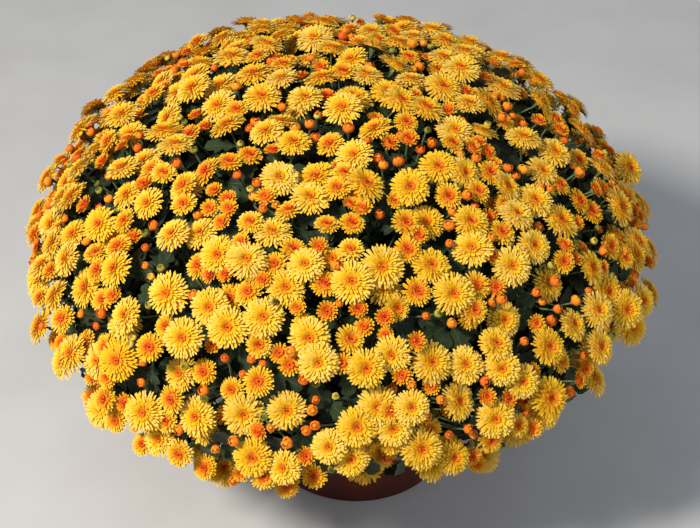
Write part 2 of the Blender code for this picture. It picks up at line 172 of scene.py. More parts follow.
HALF_LAYERS = (
    (18, 1.06, 0.12, 30, 24, 0.00122, 0.46, 0),
    (15, 0.96, 0.10, 46, 44, 0.00116, 0.56, 2),
    (12, 0.80, 0.08, 62, 68, 0.00108, 0.70, 2),
    (7, 0.62, 0.04, 80, 110, 0.00100, 0.90, 3),
)
ORANGE_BUD_LAYERS = (
    (11, 2.05, 0.30, 8, 158, 0.00200, 0.76, 1),
    (8, 1.72, 0.20, 22, 154, 0.00165, 0.62, 4),
    (5, 1.45, 0.10, 46, 135, 0.00130, 0.42, 4),
)
GREEN_BUD_LAYERS = (
    (10, 1.95, 0.35, 2, 172, 0.00160, 0.26, 1),
    (7, 1.50, 0.28, 14, 150, 0.00140, 0.32, 4),
)
# Each kind's layers, the height of its outer petals' bases and how much higher the inner ones stand, how
# late its petals bend, how much paler their tips are, and its dome of small inner petals and its green cup
# as pairs of radius and height above that base. All are shares of the bloom's radius
FORMS = (
    dict(layers=OPEN_LAYERS, base=0.0, dome=0.12, power=1.3, pale=0.15, core_heat=0.60,
         core=((0.74, 0.03), (0.62, 0.12), (0.42, 0.22), (0.20, 0.25), (0.0, 0.24)),
         cup=((0.12, -0.18), (0.17, -0.10), (0.19, -0.03), (0.15, 0.01))),
    dict(layers=YOUNG_LAYERS, base=-0.05, dome=0.14, power=1.2, pale=0.32, core_heat=0.76,
         core=((0.62, 0.12), (0.48, 0.22), (0.26, 0.30), (0.0, 0.30)),
         cup=((0.15, -0.24), (0.23, -0.12), (0.26, -0.02), (0.20, 0.04))),
    dict(layers=HALF_LAYERS, base=-0.30, dome=0.10, power=1.0, pale=0.56, core_heat=0.96,
         core=((0.56, 0.24), (0.44, 0.40), (0.24, 0.50), (0.0, 0.50)),
         cup=((0.22, -0.30), (0.36, -0.16), (0.42, -0.02), (0.36, 0.08))),
    dict(layers=ORANGE_BUD_LAYERS, base=-0.62, dome=0.16, power=1.0, pale=0.06, core_heat=0.42,
         core=((0.50, 0.0), (0.68, 0.50), (0.56, 1.10), (0.26, 1.42), (0.0, 1.50)),
         cup=((0.30, -0.10), (0.48, -0.03), (0.62, 0.06), (0.72, 0.18))),
    dict(layers=GREEN_BUD_LAYERS, base=-0.62, dome=0.10, power=1.0, pale=0.0, core_heat=0.02,
         core=((0.50, 0.0), (0.60, 0.55), (0.42, 1.00), (0.0, 1.10)),
         cup=((0.30, -0.12), (0.50, -0.04), (0.66, 0.07), (0.78, 0.20))),
)
# What each point carries: how warm its colour is, its place along and across its part, and its part's tint
VALUE_NAMES = ("warmth", "along", "across", "tint")
# A branch's pieces, each with its slot
PIECES = (("blooms_", "flowers"), ("buds_", "flowers"), ("stems_", "foliage"), ("leaves_", "foliage"))
PETAL_STEPS = 12
# Nets of a petal: its rows as steps along it, its columns, and the step where its shoulders are
PETAL_NETS = (
    ((0, 6), 3, 11),
    ((0, 5, 9), 3, 11),
    ((0, 6, 11), 2, 0),
    ((0, 8), 2, 0),
    ((0, 5, 9, 11), 2, 0),
)
# A petal's half width: places along it, and the share of its widest at each
PETAL_SHAPE = ((0.0, 0.35, 0.75, 0.92, 1.0), (0.45, 0.82, 1.0, 0.84, 0.0))
# How much petals differ: their place round the bloom, length, angles in degrees, lean and twist, and a
# bloom's own petal width
PETAL_JITTER = 0.15
PETAL_REACH = (0.93, 1.05)
PETAL_SWAY = 3.2
PETAL_LEAN = 0.04
PETAL_TWIST = 0.22
GIRTH = (0.92, 1.08)
# How deep a petal's channel is as a share of its half width, how much warmer its base is, and how late
# its tip turns pale
PETAL_CUP = 0.45
BASE_WARMTH = 0.05
PALE_POWER = 5
# The dome and the green cup: their sides, the dome's pleats and its place along the petals' painted shade,
# and the cup's ridges and range of warmth
BRACTS = 3
CORE_SIDES = (14, 12, 10, 7, 7)
CORE_PLEAT = 0.10
CORE_ALONG = 0.5
CUP_SIDES = 5
CUP_HEAT = (0.5, 0.9)
# How many open blooms are ripe and how much paler they are, and how many buds are small green ones
RIPE_SHARE = 0.40
RIPE_PALER = 0.05
GREEN_SHARE = 0.34
GREEN_RADII = (0.0040, 0.0048)
# What tells where a bloom's disc is
DISC_KEYS = ("place", "axis", "radius")
# Fillers: kind, how many, their radii, how many places are tried for them, how near they come to others as
# a share of both radii, how far above or below another still counts as near, and their depths
FILLERS = (
    (0, 106, (0.0180, 0.0220), 14000, 0.62, 0.060, (-0.002, 0.012)),
    (1, 112, (0.0128, 0.0158), 12000, 0.64, 0.060, (-0.002, 0.014)),
    (2, 155, (0.0085, 0.0108), 14000, 0.66, 0.050, (-0.002, 0.014)),
    (1, 20, (0.0125, 0.0150), 3000, 0.74, 0.0070, (-0.002, 0.018)),
    (3, 275, (0.0044, 0.0068), 15000, 0.80, 0.040, (0.001, 0.014)),
    (3, 25, (0.0046, 0.0066), 9000, 0.90, 0.0080, (-0.004, 0.008)),
)
# Bare patches: how fine they are, the step that their slope is read over, how far a bloom moves away from
# them for a slope of 1 over that step, the most that it moves, and from which value on no filler stands
# there, at the top and at the hem
BARE_SCALE = 21.0
BARE_STEP = 0.002
BARE_PUSH = 0.16
BARE_LIMIT = 0.011
BARE_LEVELS = (0.24, 0.00)
# The least push that is divided by, and how upright an axis is where another helper is crossed with it
TINY = 1e-9
UPRIGHT = 0.9
# How much of a dark opening's radius the fillers leave free
FILLER_GAP = 0.80
FILLER_TILT = 0.18
# How much a filler turns up to the light, the more so the further down it is, and how far down they go
FILLER_LIFT = 0.75
LOWEST_TURN = math.radians(109)
# Where the flowers' hem is higher: the middle of that stretch and its spread as spins, and how much less
# far down the fillers go there, in degrees, and how much the blooms are lifted, from HEM_START on
HEMS = ((-26, 30, 12, 0.046), (-82, 13, 9, 0.030), (-158, 22, 6, 0.032))
HEM_START = math.radians(62)
# Where the flowers leave the pot in view: spin, turn, half width and half height
POT_WINDOW = (math.radians(-81), math.radians(102), 0.044, 0.018)

# Stalks and stems: how far below the knot a stalk starts, its radius at both ends, the pulls of its curve,
# and the warmth, sides and radii of both
STALK_ROOT = (0.0, 0.045)
STALK_ROOT_RADIUS = 0.0016
STALK_TIP = 0.0011
STALK_STEPS = 5
STALK_PULL = (0.22, 0.30)
STALK_HEAT, STEM_HEAT = 0.60, 0.35
STALK_SIDES = 4
# Leaves on a stalk, for each kind of bloom, as chances
STALK_LEAVES = (0.9, 0.8, 0.5, 0.3, 0.3)
FINE_STEPS = 14
STEM_FINE_SIDES = 7
STEM_FOOT = 0.0036
STEM_TOP = 0.0026
FIRST_LEAF_STEP = 3

# Fine leaves: length, tries, how much they rise and turn, how far below the flowers and above the floor
# they stay, from which depth on they have no fold, and how far along one its middle is
SMALL_LEAF = (0.028, 0.044)
LEAF_TRIES = 5
LEAF_RISE = (-0.10, 0.35)
LEAF_TURN = 0.28
LEAF_DEPTH = 0.009
LEAF_FLOOR = 0.020
DEEP = 0.050
LEAF_CENTRE = 0.55
# Where a leaf is tested, as shares of its length, and the room that it leaves behind, before and beside
# each flower
LEAF_CHECKS = (0.3, 0.5, 0.75, 1.0)
LEAF_BEHIND, LEAF_BEFORE, LEAF_BESIDE = 0.004, 0.040, 0.004
# Depths at which leaves fill the mound, how many places are tried, and how far apart the leaves are; how
# far a place is from the joint that its leaf grows from, and the leaf's length
LEAF_SHELLS = ((0.024, 14000, 0.0160), (0.050, 12000, 0.0180), (0.085, 7000, 0.021))
SHELL_SPREAD = (0.8, 1.2)
SHORTEST_REACH, LONGEST_REACH = 0.008, 0.060
LEAF_SPAN = (0.034, 0.068)
LOWEST_LEAF_TURN = math.radians(128)
# Rows of a leaf: the way along it and its half width, as shares of its length
LEAF_COLUMNS = 5
LEAF_ROWS = (
    (0.0, 0.030), (0.13, 0.050), (0.22, 0.210), (0.31, 0.270), (0.38, 0.150), (0.47, 0.270),
    (0.57, 0.350), (0.66, 0.200), (0.75, 0.250), (0.86, 0.210), (0.95, 0.090), (1.0, 0.012),
)
LOBE_SWEEP = 0.30
# How much a leaf's width, droop, fold, waves and lean differ
BLADE_WIDTH, BLADE_DROOP, BLADE_FOLD = (0.88, 1.12), (0.10, 0.34), (0.18, 0.42)
BLADE_WAVE, BLADE_WAVES, BLADE_LEAN = (0.015, 0.04), 5, 0.05
GOLDEN_ANGLE = math.pi * (3 - math.sqrt(5))

# Fine pot: its rounded foot and lip, the fillet of its floor, the soft steps at its rim band inside and
# outside, the hollow under its floor, and rings up its wall
POT_FINE_SIDES = 144
FOOT_ROUND = 0.0030
LIP_ROUND = 0.0012
FLOOR_FILLET = (0.002, 0.006)
WALL_START, WALL_CLEAR = 0.020, 0.004
STEP_INSIDE = ((0.0006, 0.002), (0.0, 0.005))
STEP_OUTSIDE = 0.006
STEP_ROUND = 0.0012
FOOT_RIM, FOOT_HOLLOW, HOLLOW_DEPTH = 0.010, 0.012, 0.0012
INSIDE_RINGS, OUTSIDE_RINGS = 8, 10
OUTSIDE_START = 0.008
CORNER_STEPS = 5
# Ways across the profile, in degrees
RIGHT, UP, LEFT, DOWN = 0, 90, 180, -90
# The innermost ring of the floor, and the sides and height of what cuts the drain holes
DRAIN_DISH = 0.020
DRAIN_FINE_SIDES = 40
DRAIN_CUT = 0.02
SHARP_ANGLE = math.radians(25)

# Fine soil: where its first ring is as a share of its reach, how much it rises in the middle, its grain
# as scale, share and level of each noise, and its foot in the pot as height and room to the wall
SOIL_RINGS = 44
SOIL_SPOKES = 120
SOIL_START = 0.02
SOIL_REACH = 0.1434
SOIL_MOUND = 0.006
SOIL_GRAIN = 0.0030
SOIL_NOISES = ((90, 1.0, 0), (260, 0.6, 5), (620, 0.35, 9))
SOIL_FOOT = ((0.0070, 0.0006), (0.0036, 0.0040))
SOIL_TINT = 0.3
# Chips on the soil: radius and height of each ring and the height of both ends as shares of their size,
# how far they stand out, how flat they are and how lumpy
CHIP_COUNT = 180
CHIP_SIZE = (0.0018, 0.0055)
CHIP_SIDES = 7
CHIP_SHAPE = ((0.42, -0.36), (0.62, 0.0), (0.45, 0.32))
CHIP_ENDS = (-0.5, 0.46)
CHIP_RISE = 0.15
CHIP_WIDTH, CHIP_HEIGHT = (0.5, 1.0), (0.35, 0.8)
CHIP_LUMPS = (0.82, 1.18)

# Camera, floor and lights. A light has a name, the way it stands from the aim, its distance, width, power
# and colour
VIEW_ELEVATION = math.radians(37)
VIEW_DISTANCE = 1.9
VIEW_AIM = (-0.0076, 0.0, 0.274)
LENS, SENSOR_WIDTH = 84.857, 36
CLIP_END = 50
LIGHTS = (
    ("key", (-0.49, -0.50, 0.72), 3.0, 0.50, 97, (1.0, 0.96, 0.89)),
    ("fill", (0.8, -0.5, 0.6), 3.2, 2.4, 14, (0.90, 0.94, 1.0)),
)
WORLD_COLOUR, WORLD_STRENGTH = (0.80, 0.87, 1.0, 1), 0.34
FLOOR_REACH = 40
FLOOR_STOPS = ((0.3, (0.60, 0.59, 0.57)), (0.7, (0.66, 0.65, 0.63)))

# How patchy the warmth of petals is and how much each has its own, the pitch of their veins and the height
# of their grain, how patchy the warmth of buds and stems is, and what noise is in the mean
PETAL_PATCHES, PETAL_OWN, PETAL_VEINS, PETAL_GRAIN = 0.16, 0.03, 9.0, 0.8
BUD_PATCHES, STEM_PATCHES, MEAN_NOISE = 0.10, 0.35, 0.5
# Leaf veins: the midrib's half width, the side ribs' pitch, how far they sweep forward, how thin and how
# pale they are, and how pale and deep the midrib is
MIDRIB, RIBS, RIB_SWEEP, RIB_THIN, RIB_PALE, VEIN_PALE = 0.07, 36.0, 0.30, 0.93, 0.45, 0.7
# Plastic: how sharp and how thick its dust is, and how deep and rough its scratches are
DUST_SHARP, DUST_SHARE, SCRATCH_DEPTH, SCRATCH_ROUGH = 3.0, 0.12, 0.6, 0.4
SPECK_LEVEL, SPECK_SHARE = 0.68, 0.6
# Colour ramps: each stop's place, and its linear red, green and blue. Petals, buds, leaves and stems go by
# their warmth, and the pot and soil by their grain
PETAL_STOPS = (
    (0.0, (0.96, 0.64, 0.120)), (0.025, (0.96, 0.600, 0.032)), (0.08, (0.95, 0.545, 0.012)),
    (0.15, (0.94, 0.470, 0.012)), (0.26, (0.93, 0.365, 0.016)), (0.42, (0.91, 0.240, 0.013)),
    (0.62, (0.84, 0.132, 0.011)), (0.85, (0.68, 0.062, 0.010)), (1.0, (0.48, 0.032, 0.009)),
)
BUD_STOPS = (
    (0.0, (0.050, 0.060, 0.008)), (0.18, (0.40, 0.36, 0.04)), (0.30, (0.78, 0.58, 0.08)),
    (0.44, (0.98, 0.40, 0.020)), (0.66, (0.95, 0.225, 0.010)), (0.86, (0.80, 0.105, 0.008)),
    (1.0, (0.60, 0.050, 0.007)),
)
LEAF_STOPS = (
    (0.0, (0.007, 0.018, 0.0035)), (0.5, (0.013, 0.029, 0.006)), (1.0, (0.029, 0.052, 0.013)),
)
VEIN_COLOUR = (0.048, 0.076, 0.024)
STEM_STOPS = (
    (0.30, (0.050, 0.045, 0.020)), (0.55, (0.060, 0.095, 0.026)), (0.95, (0.14, 0.20, 0.06)),
)
PLASTIC_STOPS = (
    (0.30, (0.058, 0.010, 0.005)), (0.55, (0.095, 0.017, 0.007)), (0.75, (0.140, 0.026, 0.011)),
)
DUST_COLOUR = (0.16, 0.09, 0.06)
SOIL_STOPS = (
    (0.32, (0.010, 0.006, 0.004)), (0.52, (0.030, 0.018, 0.011)), (0.74, (0.080, 0.050, 0.030)),
)
BARK_COLOUR = (0.16, 0.10, 0.055)


class Solid:
    """A mesh under construction. The corners of its triangles run anticlockwise seen from outside."""

    def __init__(self):
        self.points = []
        self.faces = []

    def add(self, points):
        start = len(self.points)
        self.points.extend(points)
        return list(range(start, len(self.points)))

    def bridge(self, low, high):
        self.faces.extend(strip(low, high))

    def fan(self, loop, tip):
        self.faces.extend(fan(loop, tip))

    def tree(self):
        return BVHTree.FromPolygons(self.points, self.faces)


def strip(low, high):
    """Triangles between two loops that run anticlockwise about the way from low to high."""
    faces = []
    i = j = 0
    m, n = len(low), len(high)
    while i < m or j < n:
        if j == n or (i < m and (i + 1) * n <= (j + 1) * m):
            faces.append((low[i % m], low[(i + 1) % m], high[j % n]))
            i += 1
        else:
            faces.append((low[i % m], high[(j + 1) % n], high[j % n]))
            j += 1
    return faces


def fan(loop, tip):
    return [(a, b, tip) for a, b in zip(loop, loop[1:] + loop[:1])]


def frame_about(axis, towards):
    """Two directions square to the axis, the first as near as it can be to the one given."""
    first = (towards - axis * towards.dot(axis)).normalized()
    return first, axis.cross(first)


def ring(centre, axis, towards, shape):
    """Points at even angles about an axis, from a list of radius and height for each."""
    first, second = frame_about(axis, towards)
    points = []
    for k, (radius, height) in enumerate(shape):
        angle = math.tau * k / len(shape)
        side = first * math.cos(angle) + second * math.sin(angle)
        points.append(centre + side * radius + axis * height)
    return points


def mound_half(height):
    return MOUND_RISE if height >= 0 else MOUND_DROP


def mound_point(turn, spin):
    across, up = MOUND_RADIUS * math.sin(turn), math.cos(turn)
    x = MOUND_LEAN + across * math.cos(spin)
    return Vector((x, across * math.sin(spin), MOUND_MIDDLE + mound_half(up) * up))


def mound_normal(point):
    x, y, z = point - Vector(MOUND_CENTRE)
    half = mound_half(z)
    return Vector((x / MOUND_RADIUS**2, y / MOUND_RADIUS**2, z / half**2)).normalized()


def mound_reach(start, way):
    """How far the mound's surface is from a point inside it, in one direction."""
    near, far = 0.0, 2 * MOUND_RADIUS
    for _ in range(HALVINGS):
        middle = (near + far) / 2
        x, y, z = start + way * middle - Vector(MOUND_CENTRE)
        if (x * x + y * y) / MOUND_RADIUS**2 + (z / mound_half(z)) ** 2 < 1:
            near = middle
        else:
            far = middle
    return near


def stem_path(foot, knot, normal, steps=STEM_STEPS):
    """Points up a stem: straight out of its hole, then curving over to meet the knot along its normal."""
    rise = foot + Vector((0, 0, HOLE_DEPTH + STEM_RISE))
    length = (knot - rise).length
    first = rise + Vector((0, 0, length * (STEM_PULL + STEM_PULL_UP * normal.z)))
    second = knot - normal * (length * KNOT_PULL)
    path = [foot, rise]
    for k in range(1, steps + 1):
        t = k / steps
        a, b, c, d = (1 - t) ** 3, 3 * t * (1 - t) ** 2, 3 * t * t * (1 - t), t**3
        path.append(rise * a + first * b + second * c + knot * d)
    return path


def add_stem(solid, branch):
    """The stem's tube. It returns the loop at its top and the direction that its corners start from."""
    path, normal = branch["path"], branch["normal"]
    towards = Vector((math.cos(branch["spin"]), math.sin(branch["spin"]), 0))
    loop = None
    for k, point in enumerate(path):
        if k < 2:
            axis = Vector((0, 0, 1))
        elif k == len(path) - 1:
            axis = normal
        else:
            axis = (path[k + 1] - path[k - 1]).normalized()
        towards = frame_about(axis, towards)[0]
        corners = solid.add(ring(point, axis, towards, [(STEM_RADIUS, 0)] * STEM_SIDES))
        if loop is None:
            solid.faces.append(tuple(reversed(corners)))
        else:
            solid.bridge(loop, corners)
        loop = corners
    return loop, towards


def add_knot(solid, branch, loop, towards):
    """The knot's points, and its faces for flower stalks and for leaves."""
    centre, normal = branch["centre"], branch["normal"]
    loops = [loop]
    for sides, turn in KNOT_RINGS:
        shape = [(KNOT_RADIUS * math.sin(turn), KNOT_RADIUS * math.cos(turn))] * sides
        loops.append(solid.add(ring(centre, normal, towards, shape)))
    tip = solid.add([centre + normal * KNOT_RADIUS])[0]
    waist = set(loops[1])
    branch["flower_faces"] = strip(loops[1], loops[2]) + fan(loops[2], tip)
    branch["shares"] = [CELL_SHARES[len(waist & set(face))] for face in branch["flower_faces"]]
    low = strip(loops[0], loops[1])
    branch["leaf_faces"] = [(b, c, a) for a, b, c in low if b in waist and c in waist]


def make_branch(name, turn, spin, foot_ring, draw):
    top = mound_point(turn, spin)
    normal = mound_normal(top)
    foot = Vector((foot_ring * math.cos(spin), foot_ring * math.sin(spin), SOIL_TOP - HOLE_DEPTH + FIT))
    centre = top - normal * KNOT_DEPTH
    path = stem_path(foot, centre - normal * KNOT_RADIUS, normal)
    branch = dict(name=name, spin=spin, top=top, normal=normal, foot=foot, centre=centre, path=path)
    branch.update(push=draw.uniform(-LUMP, LUMP), solid=Solid(), heads=[], leaves=[])
    add_knot(branch["solid"], branch, *add_stem(branch["solid"], branch))
    return branch


def make_branches(draw):
    branches = []
    for count, turn, first, foot_ring in RINGS:
        for k in range(count):
            spin = math.tau * (k + first) / count + draw.uniform(-RING_JITTER, RING_JITTER)
            lean = math.radians(turn) + draw.uniform(-RING_JITTER, RING_JITTER)
            name = f"flower_branch_{len(branches) + 1:02d}"
            branches.append(make_branch(name, lean, spin, foot_ring, draw))
    return branches


def middle_of(solid, face):
    return sum((solid.points[i] for i in face), Vector()) / 3


def rim_shape(kind, radius):
    """The head's rim: petal tips with notches between them, or the plain waist of a bud."""
    if not kind["petals"]:
        return [(radius, 0)] * ROUND_SIDES
    tip = (radius, radius * kind["tip"])
    notch = (radius * NOTCH_REACH, radius * kind["notch"])
    return [tip, notch] * kind["petals"]


def add_head(solid, loop, towards, head, grow=0.0):
    """A flower head or bud that stands on a loop of three corners."""
    kind, radius, axis = head["kind"], head["radius"] + grow, head["axis"]
    rim = solid.add(ring(head["place"], axis, towards, rim_shape(kind, radius)))
    solid.bridge(loop, rim)
    centre = head["place"] + axis * (head["radius"] * kind["centre"] + grow)
    solid.fan(rim, solid.add([centre])[0])


def stalk_ends(solid, face, end, grow=0.0):
    """A stalk's three corners on the knot, those at its far end, and the way that the first one faces."""
    middle = middle_of(solid, face)
    way = (end - middle).normalized()
    first, second = frame_about(way, solid.points[face[0]] - middle)
    turned = 0.0
    for k in (1, 2):
        spoke = solid.points[face[k]] - middle
        turned += math.atan2(spoke.dot(second), spoke.dot(first)) % math.tau - math.tau * k / 3
    towards = first * math.cos(turned / 3) + second * math.sin(turned / 3)
    return ring(end, way, towards, [(STALK_RADIUS + grow, 0)] * 3), towards


def add_stalk_and_head(solid, face, head):
    neck = head["place"] - head["axis"] * head["kind"]["neck"]
    corners, towards = stalk_ends(solid, face, neck)
    loop = solid.add(corners)
    solid.bridge(face, loop)
    add_head(solid, loop, towards, head)


def outer_stalk(made, solid, face, end, start):
    """A stalk from a share of its length on, slightly larger, to test what it would touch."""
    corners, towards = stalk_ends(solid, face, end, CLEARANCE)
    begin = [solid.points[i] + (corner - solid.points[i]) * start for i, corner in zip(face, corners)]
    middle = sum(begin, Vector()) / 3
    low = made.add([point + (point - middle).normalized() * CLEARANCE for point in begin])
    high = made.add(corners)
    made.bridge(low, high)
    return high, towards


def guard_of_head(branch, face, head):
    """A slightly larger head with its stalk, to test what it would touch."""
    neck = head["place"] - head["axis"] * (head["kind"]["neck"] + CLEARANCE)
    solids = []
    for start in (NEAR_START, FAR_START):
        made = Solid()
        loop, towards = outer_stalk(made, branch["solid"], face, neck, start)
        add_head(made, loop, towards, head, CLEARANCE)
        solids.append(made)
    return guard(branch, *solids)


def guard(branch, whole, outer):
    """What others must keep clear of: all of it for another branch, its outer part for its own."""
    middle = sum(whole.points, Vector()) / len(whole.points)
    reach = max((point - middle).length for point in whole.points)
    return dict(owner=branch["name"], middle=middle, reach=reach, whole=whole.tree(), outer=outer.tree())


def touches(one, others):
    for other in others:
        apart = (one["middle"] - other["middle"]).length
        part = "outer" if one["owner"] == other["owner"] else "whole"
        if apart < one["reach"] + other["reach"] and one[part].overlap(other[part]):
            return True
    return False


def crosses_itself(solid, start):
    """Whether the faces from one index on cross an earlier face that they share no corner with."""
    earlier = BVHTree.FromPolygons(solid.points, solid.faces[:start])
    later = BVHTree.FromPolygons(solid.points, solid.faces[start:])
    pairs = later.overlap(earlier)
    return any(not set(solid.faces[start + i]) & set(solid.faces[j]) for i, j in pairs)


def grown(branch, face, grow, item):
    """Adds a stalk and what it carries to the branch's solid, unless it would cross what is there."""
    solid = branch["solid"]
    points, faces = len(solid.points), len(solid.faces)
    grow(solid, face, item)
    if crosses_itself(solid, faces):
        del solid.points[points:]
        del solid.faces[faces:]
        return False
    return True


def in_gap(place, share=1.0):
    for spin, turn, radius in GAPS:
        if (place - mound_point(math.radians(turn), math.radians(spin))).length < radius * share:
            return True
    return False


def jittered(way, draw, amount):
    first, second = frame_about(way, way.orthogonal())
    shift = first * draw.uniform(-amount, amount) + second * draw.uniform(-amount, amount)
    return (way + shift).normalized()


def cell_reach(branch, out, branches):
    """How far a branch's own part of the surface goes one way, halfway to the branches beside it."""
    reach = CELL_LIMIT
    for other in branches:
        apart = other["top"] - branch["top"]
        along = apart.dot(out)
        if along > 0:
            reach = min(reach, apart.length_squared / 2 / along)
    return reach


def head_aims(branch, straight, draw):
    """Ways from the knot, each with its distance to the surface, the way a head faces and if it's a gap."""
    aims = []
    for amount in AIM_JITTERS:
        way = jittered(straight, draw, amount)
        reach = mound_reach(branch["centre"], way) + branch["push"]
        surface = branch["centre"] + way * reach
        facing = (mound_normal(surface) * FACE_OUT + way * (1 - FACE_OUT)).normalized()
        aims.append((way, reach, jittered(facing, draw, TILT), in_gap(surface)))
    return aims


def head_choices(branch, face, across, branches, draw):
    """What could stand on a knot's face: the drawn kind at each aim and level, then the smaller kinds."""
    out = frame_about(branch["normal"], middle_of(branch["solid"], face) - branch["centre"])[0]
    across *= cell_reach(branch, out, branches)
    aims = head_aims(branch, (branch["normal"] * KNOT_DEPTH + out * across).normalized(), draw)
    first = draw.choices(range(len(KINDS)), KIND_SHARES)[0]
    size, shift = draw.random(), draw.uniform(-LEVEL_JITTER, LEVEL_JITTER)
    for kind in KINDS[first:]:
        small, large = kind["radii"]
        radius = small + size * (large - small)
        for way, reach, axis, gap in aims:
            if gap and kind is not BUD:
                continue
            for level in LEVELS:
                place = branch["centre"] + way * (reach - level - shift)
                yield dict(kind=kind, radius=radius, axis=axis, place=place)


def place_heads(branches, draw):
    """Heads on every knot, in a mixed order. Each takes the first choice that touches nothing."""
    taken = []
    for branch in branches:
        stem = Solid()
        add_stem(stem, branch)
        taken.append(guard(branch, stem, stem))
    slots = []
    for branch in branches:
        slots += [(branch, face, share) for face, share in zip(branch["flower_faces"], branch["shares"])]
    draw.shuffle(slots)
    for branch, face, share in slots:
        for head in head_choices(branch, face, share, branches, draw):
            shape = guard_of_head(branch, face, head)
            if not touches(shape, taken) and grown(branch, face, add_stalk_and_head, head):
                taken.append(shape)
                branch["heads"].append(head)
                break
    return taken


def leaf_outline(base, out, side, up, length):
    """The blade's edge from its base round the tip and back, with lobes cut into both sides."""
    half = length * LEAF_HALF_WIDTH

    def at(along, across):
        droop = LEAF_DROOP * length * (along**2 + 0.5 * abs(across))
        return base + out * (along * length) + side * (across * half) - up * droop

    near = [at(along, -across) for along, across in LEAF_LOBES]
    back = [at(along, across) for along, across in reversed(LEAF_LOBES)]
    return near + [at(1, 0)] + back


def leaf_base(leaf):
    """The three corners where a leaf's stalk meets its blade: right, left and below."""
    side = leaf["up"].cross(leaf["out"])
    towards = side * math.cos(LEAF_CORNER) + leaf["up"] * math.sin(LEAF_CORNER)
    return ring(leaf["base"], leaf["out"], towards, [(STALK_RADIUS, 0)] * 3)


def add_blade(solid, loop, leaf):
    """A leaf's blade: two fans of triangles share the lobed edge, a blade's thickness apart."""
    out, up, length = leaf["out"], leaf["up"], leaf["length"]
    right, left, below = loop
    edge = solid.add(leaf_outline(leaf["base"], out, up.cross(out), up, length))
    middle = leaf["base"] + out * (length * LEAF_MIDDLE)
    upper, lower = solid.add([middle, middle - up * LEAF_THICKNESS])
    solid.fan([right, left] + edge, upper)
    solid.fan([left, below, right] + edge[::-1], lower)


def add_leaf(solid, face, leaf):
    loop = solid.add(leaf_base(leaf))
    solid.bridge(face, loop)
    add_blade(solid, loop, leaf)


def guard_of_leaf(branch, face, leaf):
    made = Solid()
    outer_stalk(made, branch["solid"], face, leaf["base"], FAR_START)
    add_blade(made, made.add(leaf_base(leaf)), leaf)
    return guard(branch, made, made)


def leaf_choices(branch, face, draw):
    """A leaf of one size at each angle from the branch's own way up."""
    spoke = middle_of(branch["solid"], face) - branch["centre"]
    flat = frame_about(branch["normal"], spoke)[0]
    length, lean = draw.uniform(*LEAF_LENGTH), draw.uniform(-LEAF_LEAN, LEAF_LEAN)
    for angle in LEAF_ANGLES:
        out = branch["normal"] * math.cos(angle + lean) + flat * math.sin(angle + lean)
        up = frame_about(out, branch["normal"])[0]
        base = branch["centre"] + out * LEAF_STALK
        yield dict(base=base, out=out, up=up, length=length)


def place_leaves(branches, taken, draw):
    """Leaves low on each knot, each at the first angle where it touches nothing."""
    for branch in branches:
        faces = branch["leaf_faces"][:: len(branch["leaf_faces"]) // LEAVES_PER_BRANCH]
        for face in faces[:LEAVES_PER_BRANCH]:
            for leaf in leaf_choices(branch, face, draw):
                shape = guard_of_leaf(branch, face, leaf)
                if not touches(shape, taken) and grown(branch, face, add_leaf, leaf):
                    taken.append(shape)
                    branch["leaves"].append(leaf)
                    break


def array(vector):
    return np.array(vector, float)


def unit(vectors):
    return vectors / np.linalg.norm(vectors, axis=-1, keepdims=True)


def square_to(axis):
    """Two directions square to an axis."""
    helper = np.array((0.0, 0.0, 1.0)) if abs(axis[2]) < UPRIGHT else np.array((1.0, 0.0, 0.0))
    first = unit(np.cross(axis, helper))
    return first, np.cross(axis, first)


def value_rows(shape, *values):
    """Values that are spread over a shape, as rows in the order of VALUE_NAMES."""
    return np.column_stack([np.broadcast_to(value, shape).ravel() for value in values])


def add_object(name, data):
    made = bpy.data.objects.new(name, data)
    bpy.context.scene.collection.objects.link(made)
    return made


class Pile:
    """Points, triangles and values for each point, gathered until they become one piece."""

    def __init__(self):
        self.points, self.faces, self.values, self.count = [], [], [], 0

    def add(self, points, faces, values):
        self.points.append(points)
        self.faces.append(faces + self.count)
        self.values.append(values)
        self.count += len(points)

    def piece(self, name, surface, slot, *nodes):
        """All of it as one smooth mesh in place of nodes of the solids."""
        points, faces = np.concatenate(self.points), np.concatenate(self.faces)
        mesh = bpy.data.meshes.new(name)
        mesh.vertices.add(len(points))
        mesh.vertices.foreach_set("co", points.astype(np.float32).ravel())
        mesh.loops.add(faces.size)
        mesh.loops.foreach_set("vertex_index", faces.astype(np.int32).ravel())
        mesh.polygons.add(len(faces))
        mesh.polygons.foreach_set("loop_start", np.arange(0, faces.size, 3, dtype=np.int32))
        mesh.update(calc_edges=True)
        mesh.shade_smooth()
        values = np.concatenate(self.values).astype(np.float32)
        for column, key in enumerate(VALUE_NAMES):
            mesh.attributes.new(key, "FLOAT", "POINT").data.foreach_set("value", values[:, column].copy())
        mesh.materials.append(surface)
        made = add_object(name, mesh)
        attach(made, "root")
        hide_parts(*nodes)
        return made


def grid_faces(rows, columns, closed=False):
    """Triangles between rows of points. Closed rows run round a tube."""
    faces = []
    for i in range(rows - 1):
        for j in range(columns if closed else columns - 1):
            a, b = i * columns + j, i * columns + (j + 1) % columns
            faces += [(a, a + columns, b + columns), (a, b + columns, b)]
    return np.array(faces)


def tube_faces(rows, sides):
    """Triangles of rings that rise along their axis."""
    return grid_faces(rows, sides, closed=True)[:, ::-1]


def cap_faces(first, sides, tip):
    """Triangles between a ring, from the index of its first point on, and a tip above it."""
    return np.array([(first + k, first + (k + 1) % sides, tip) for k in range(sides)])


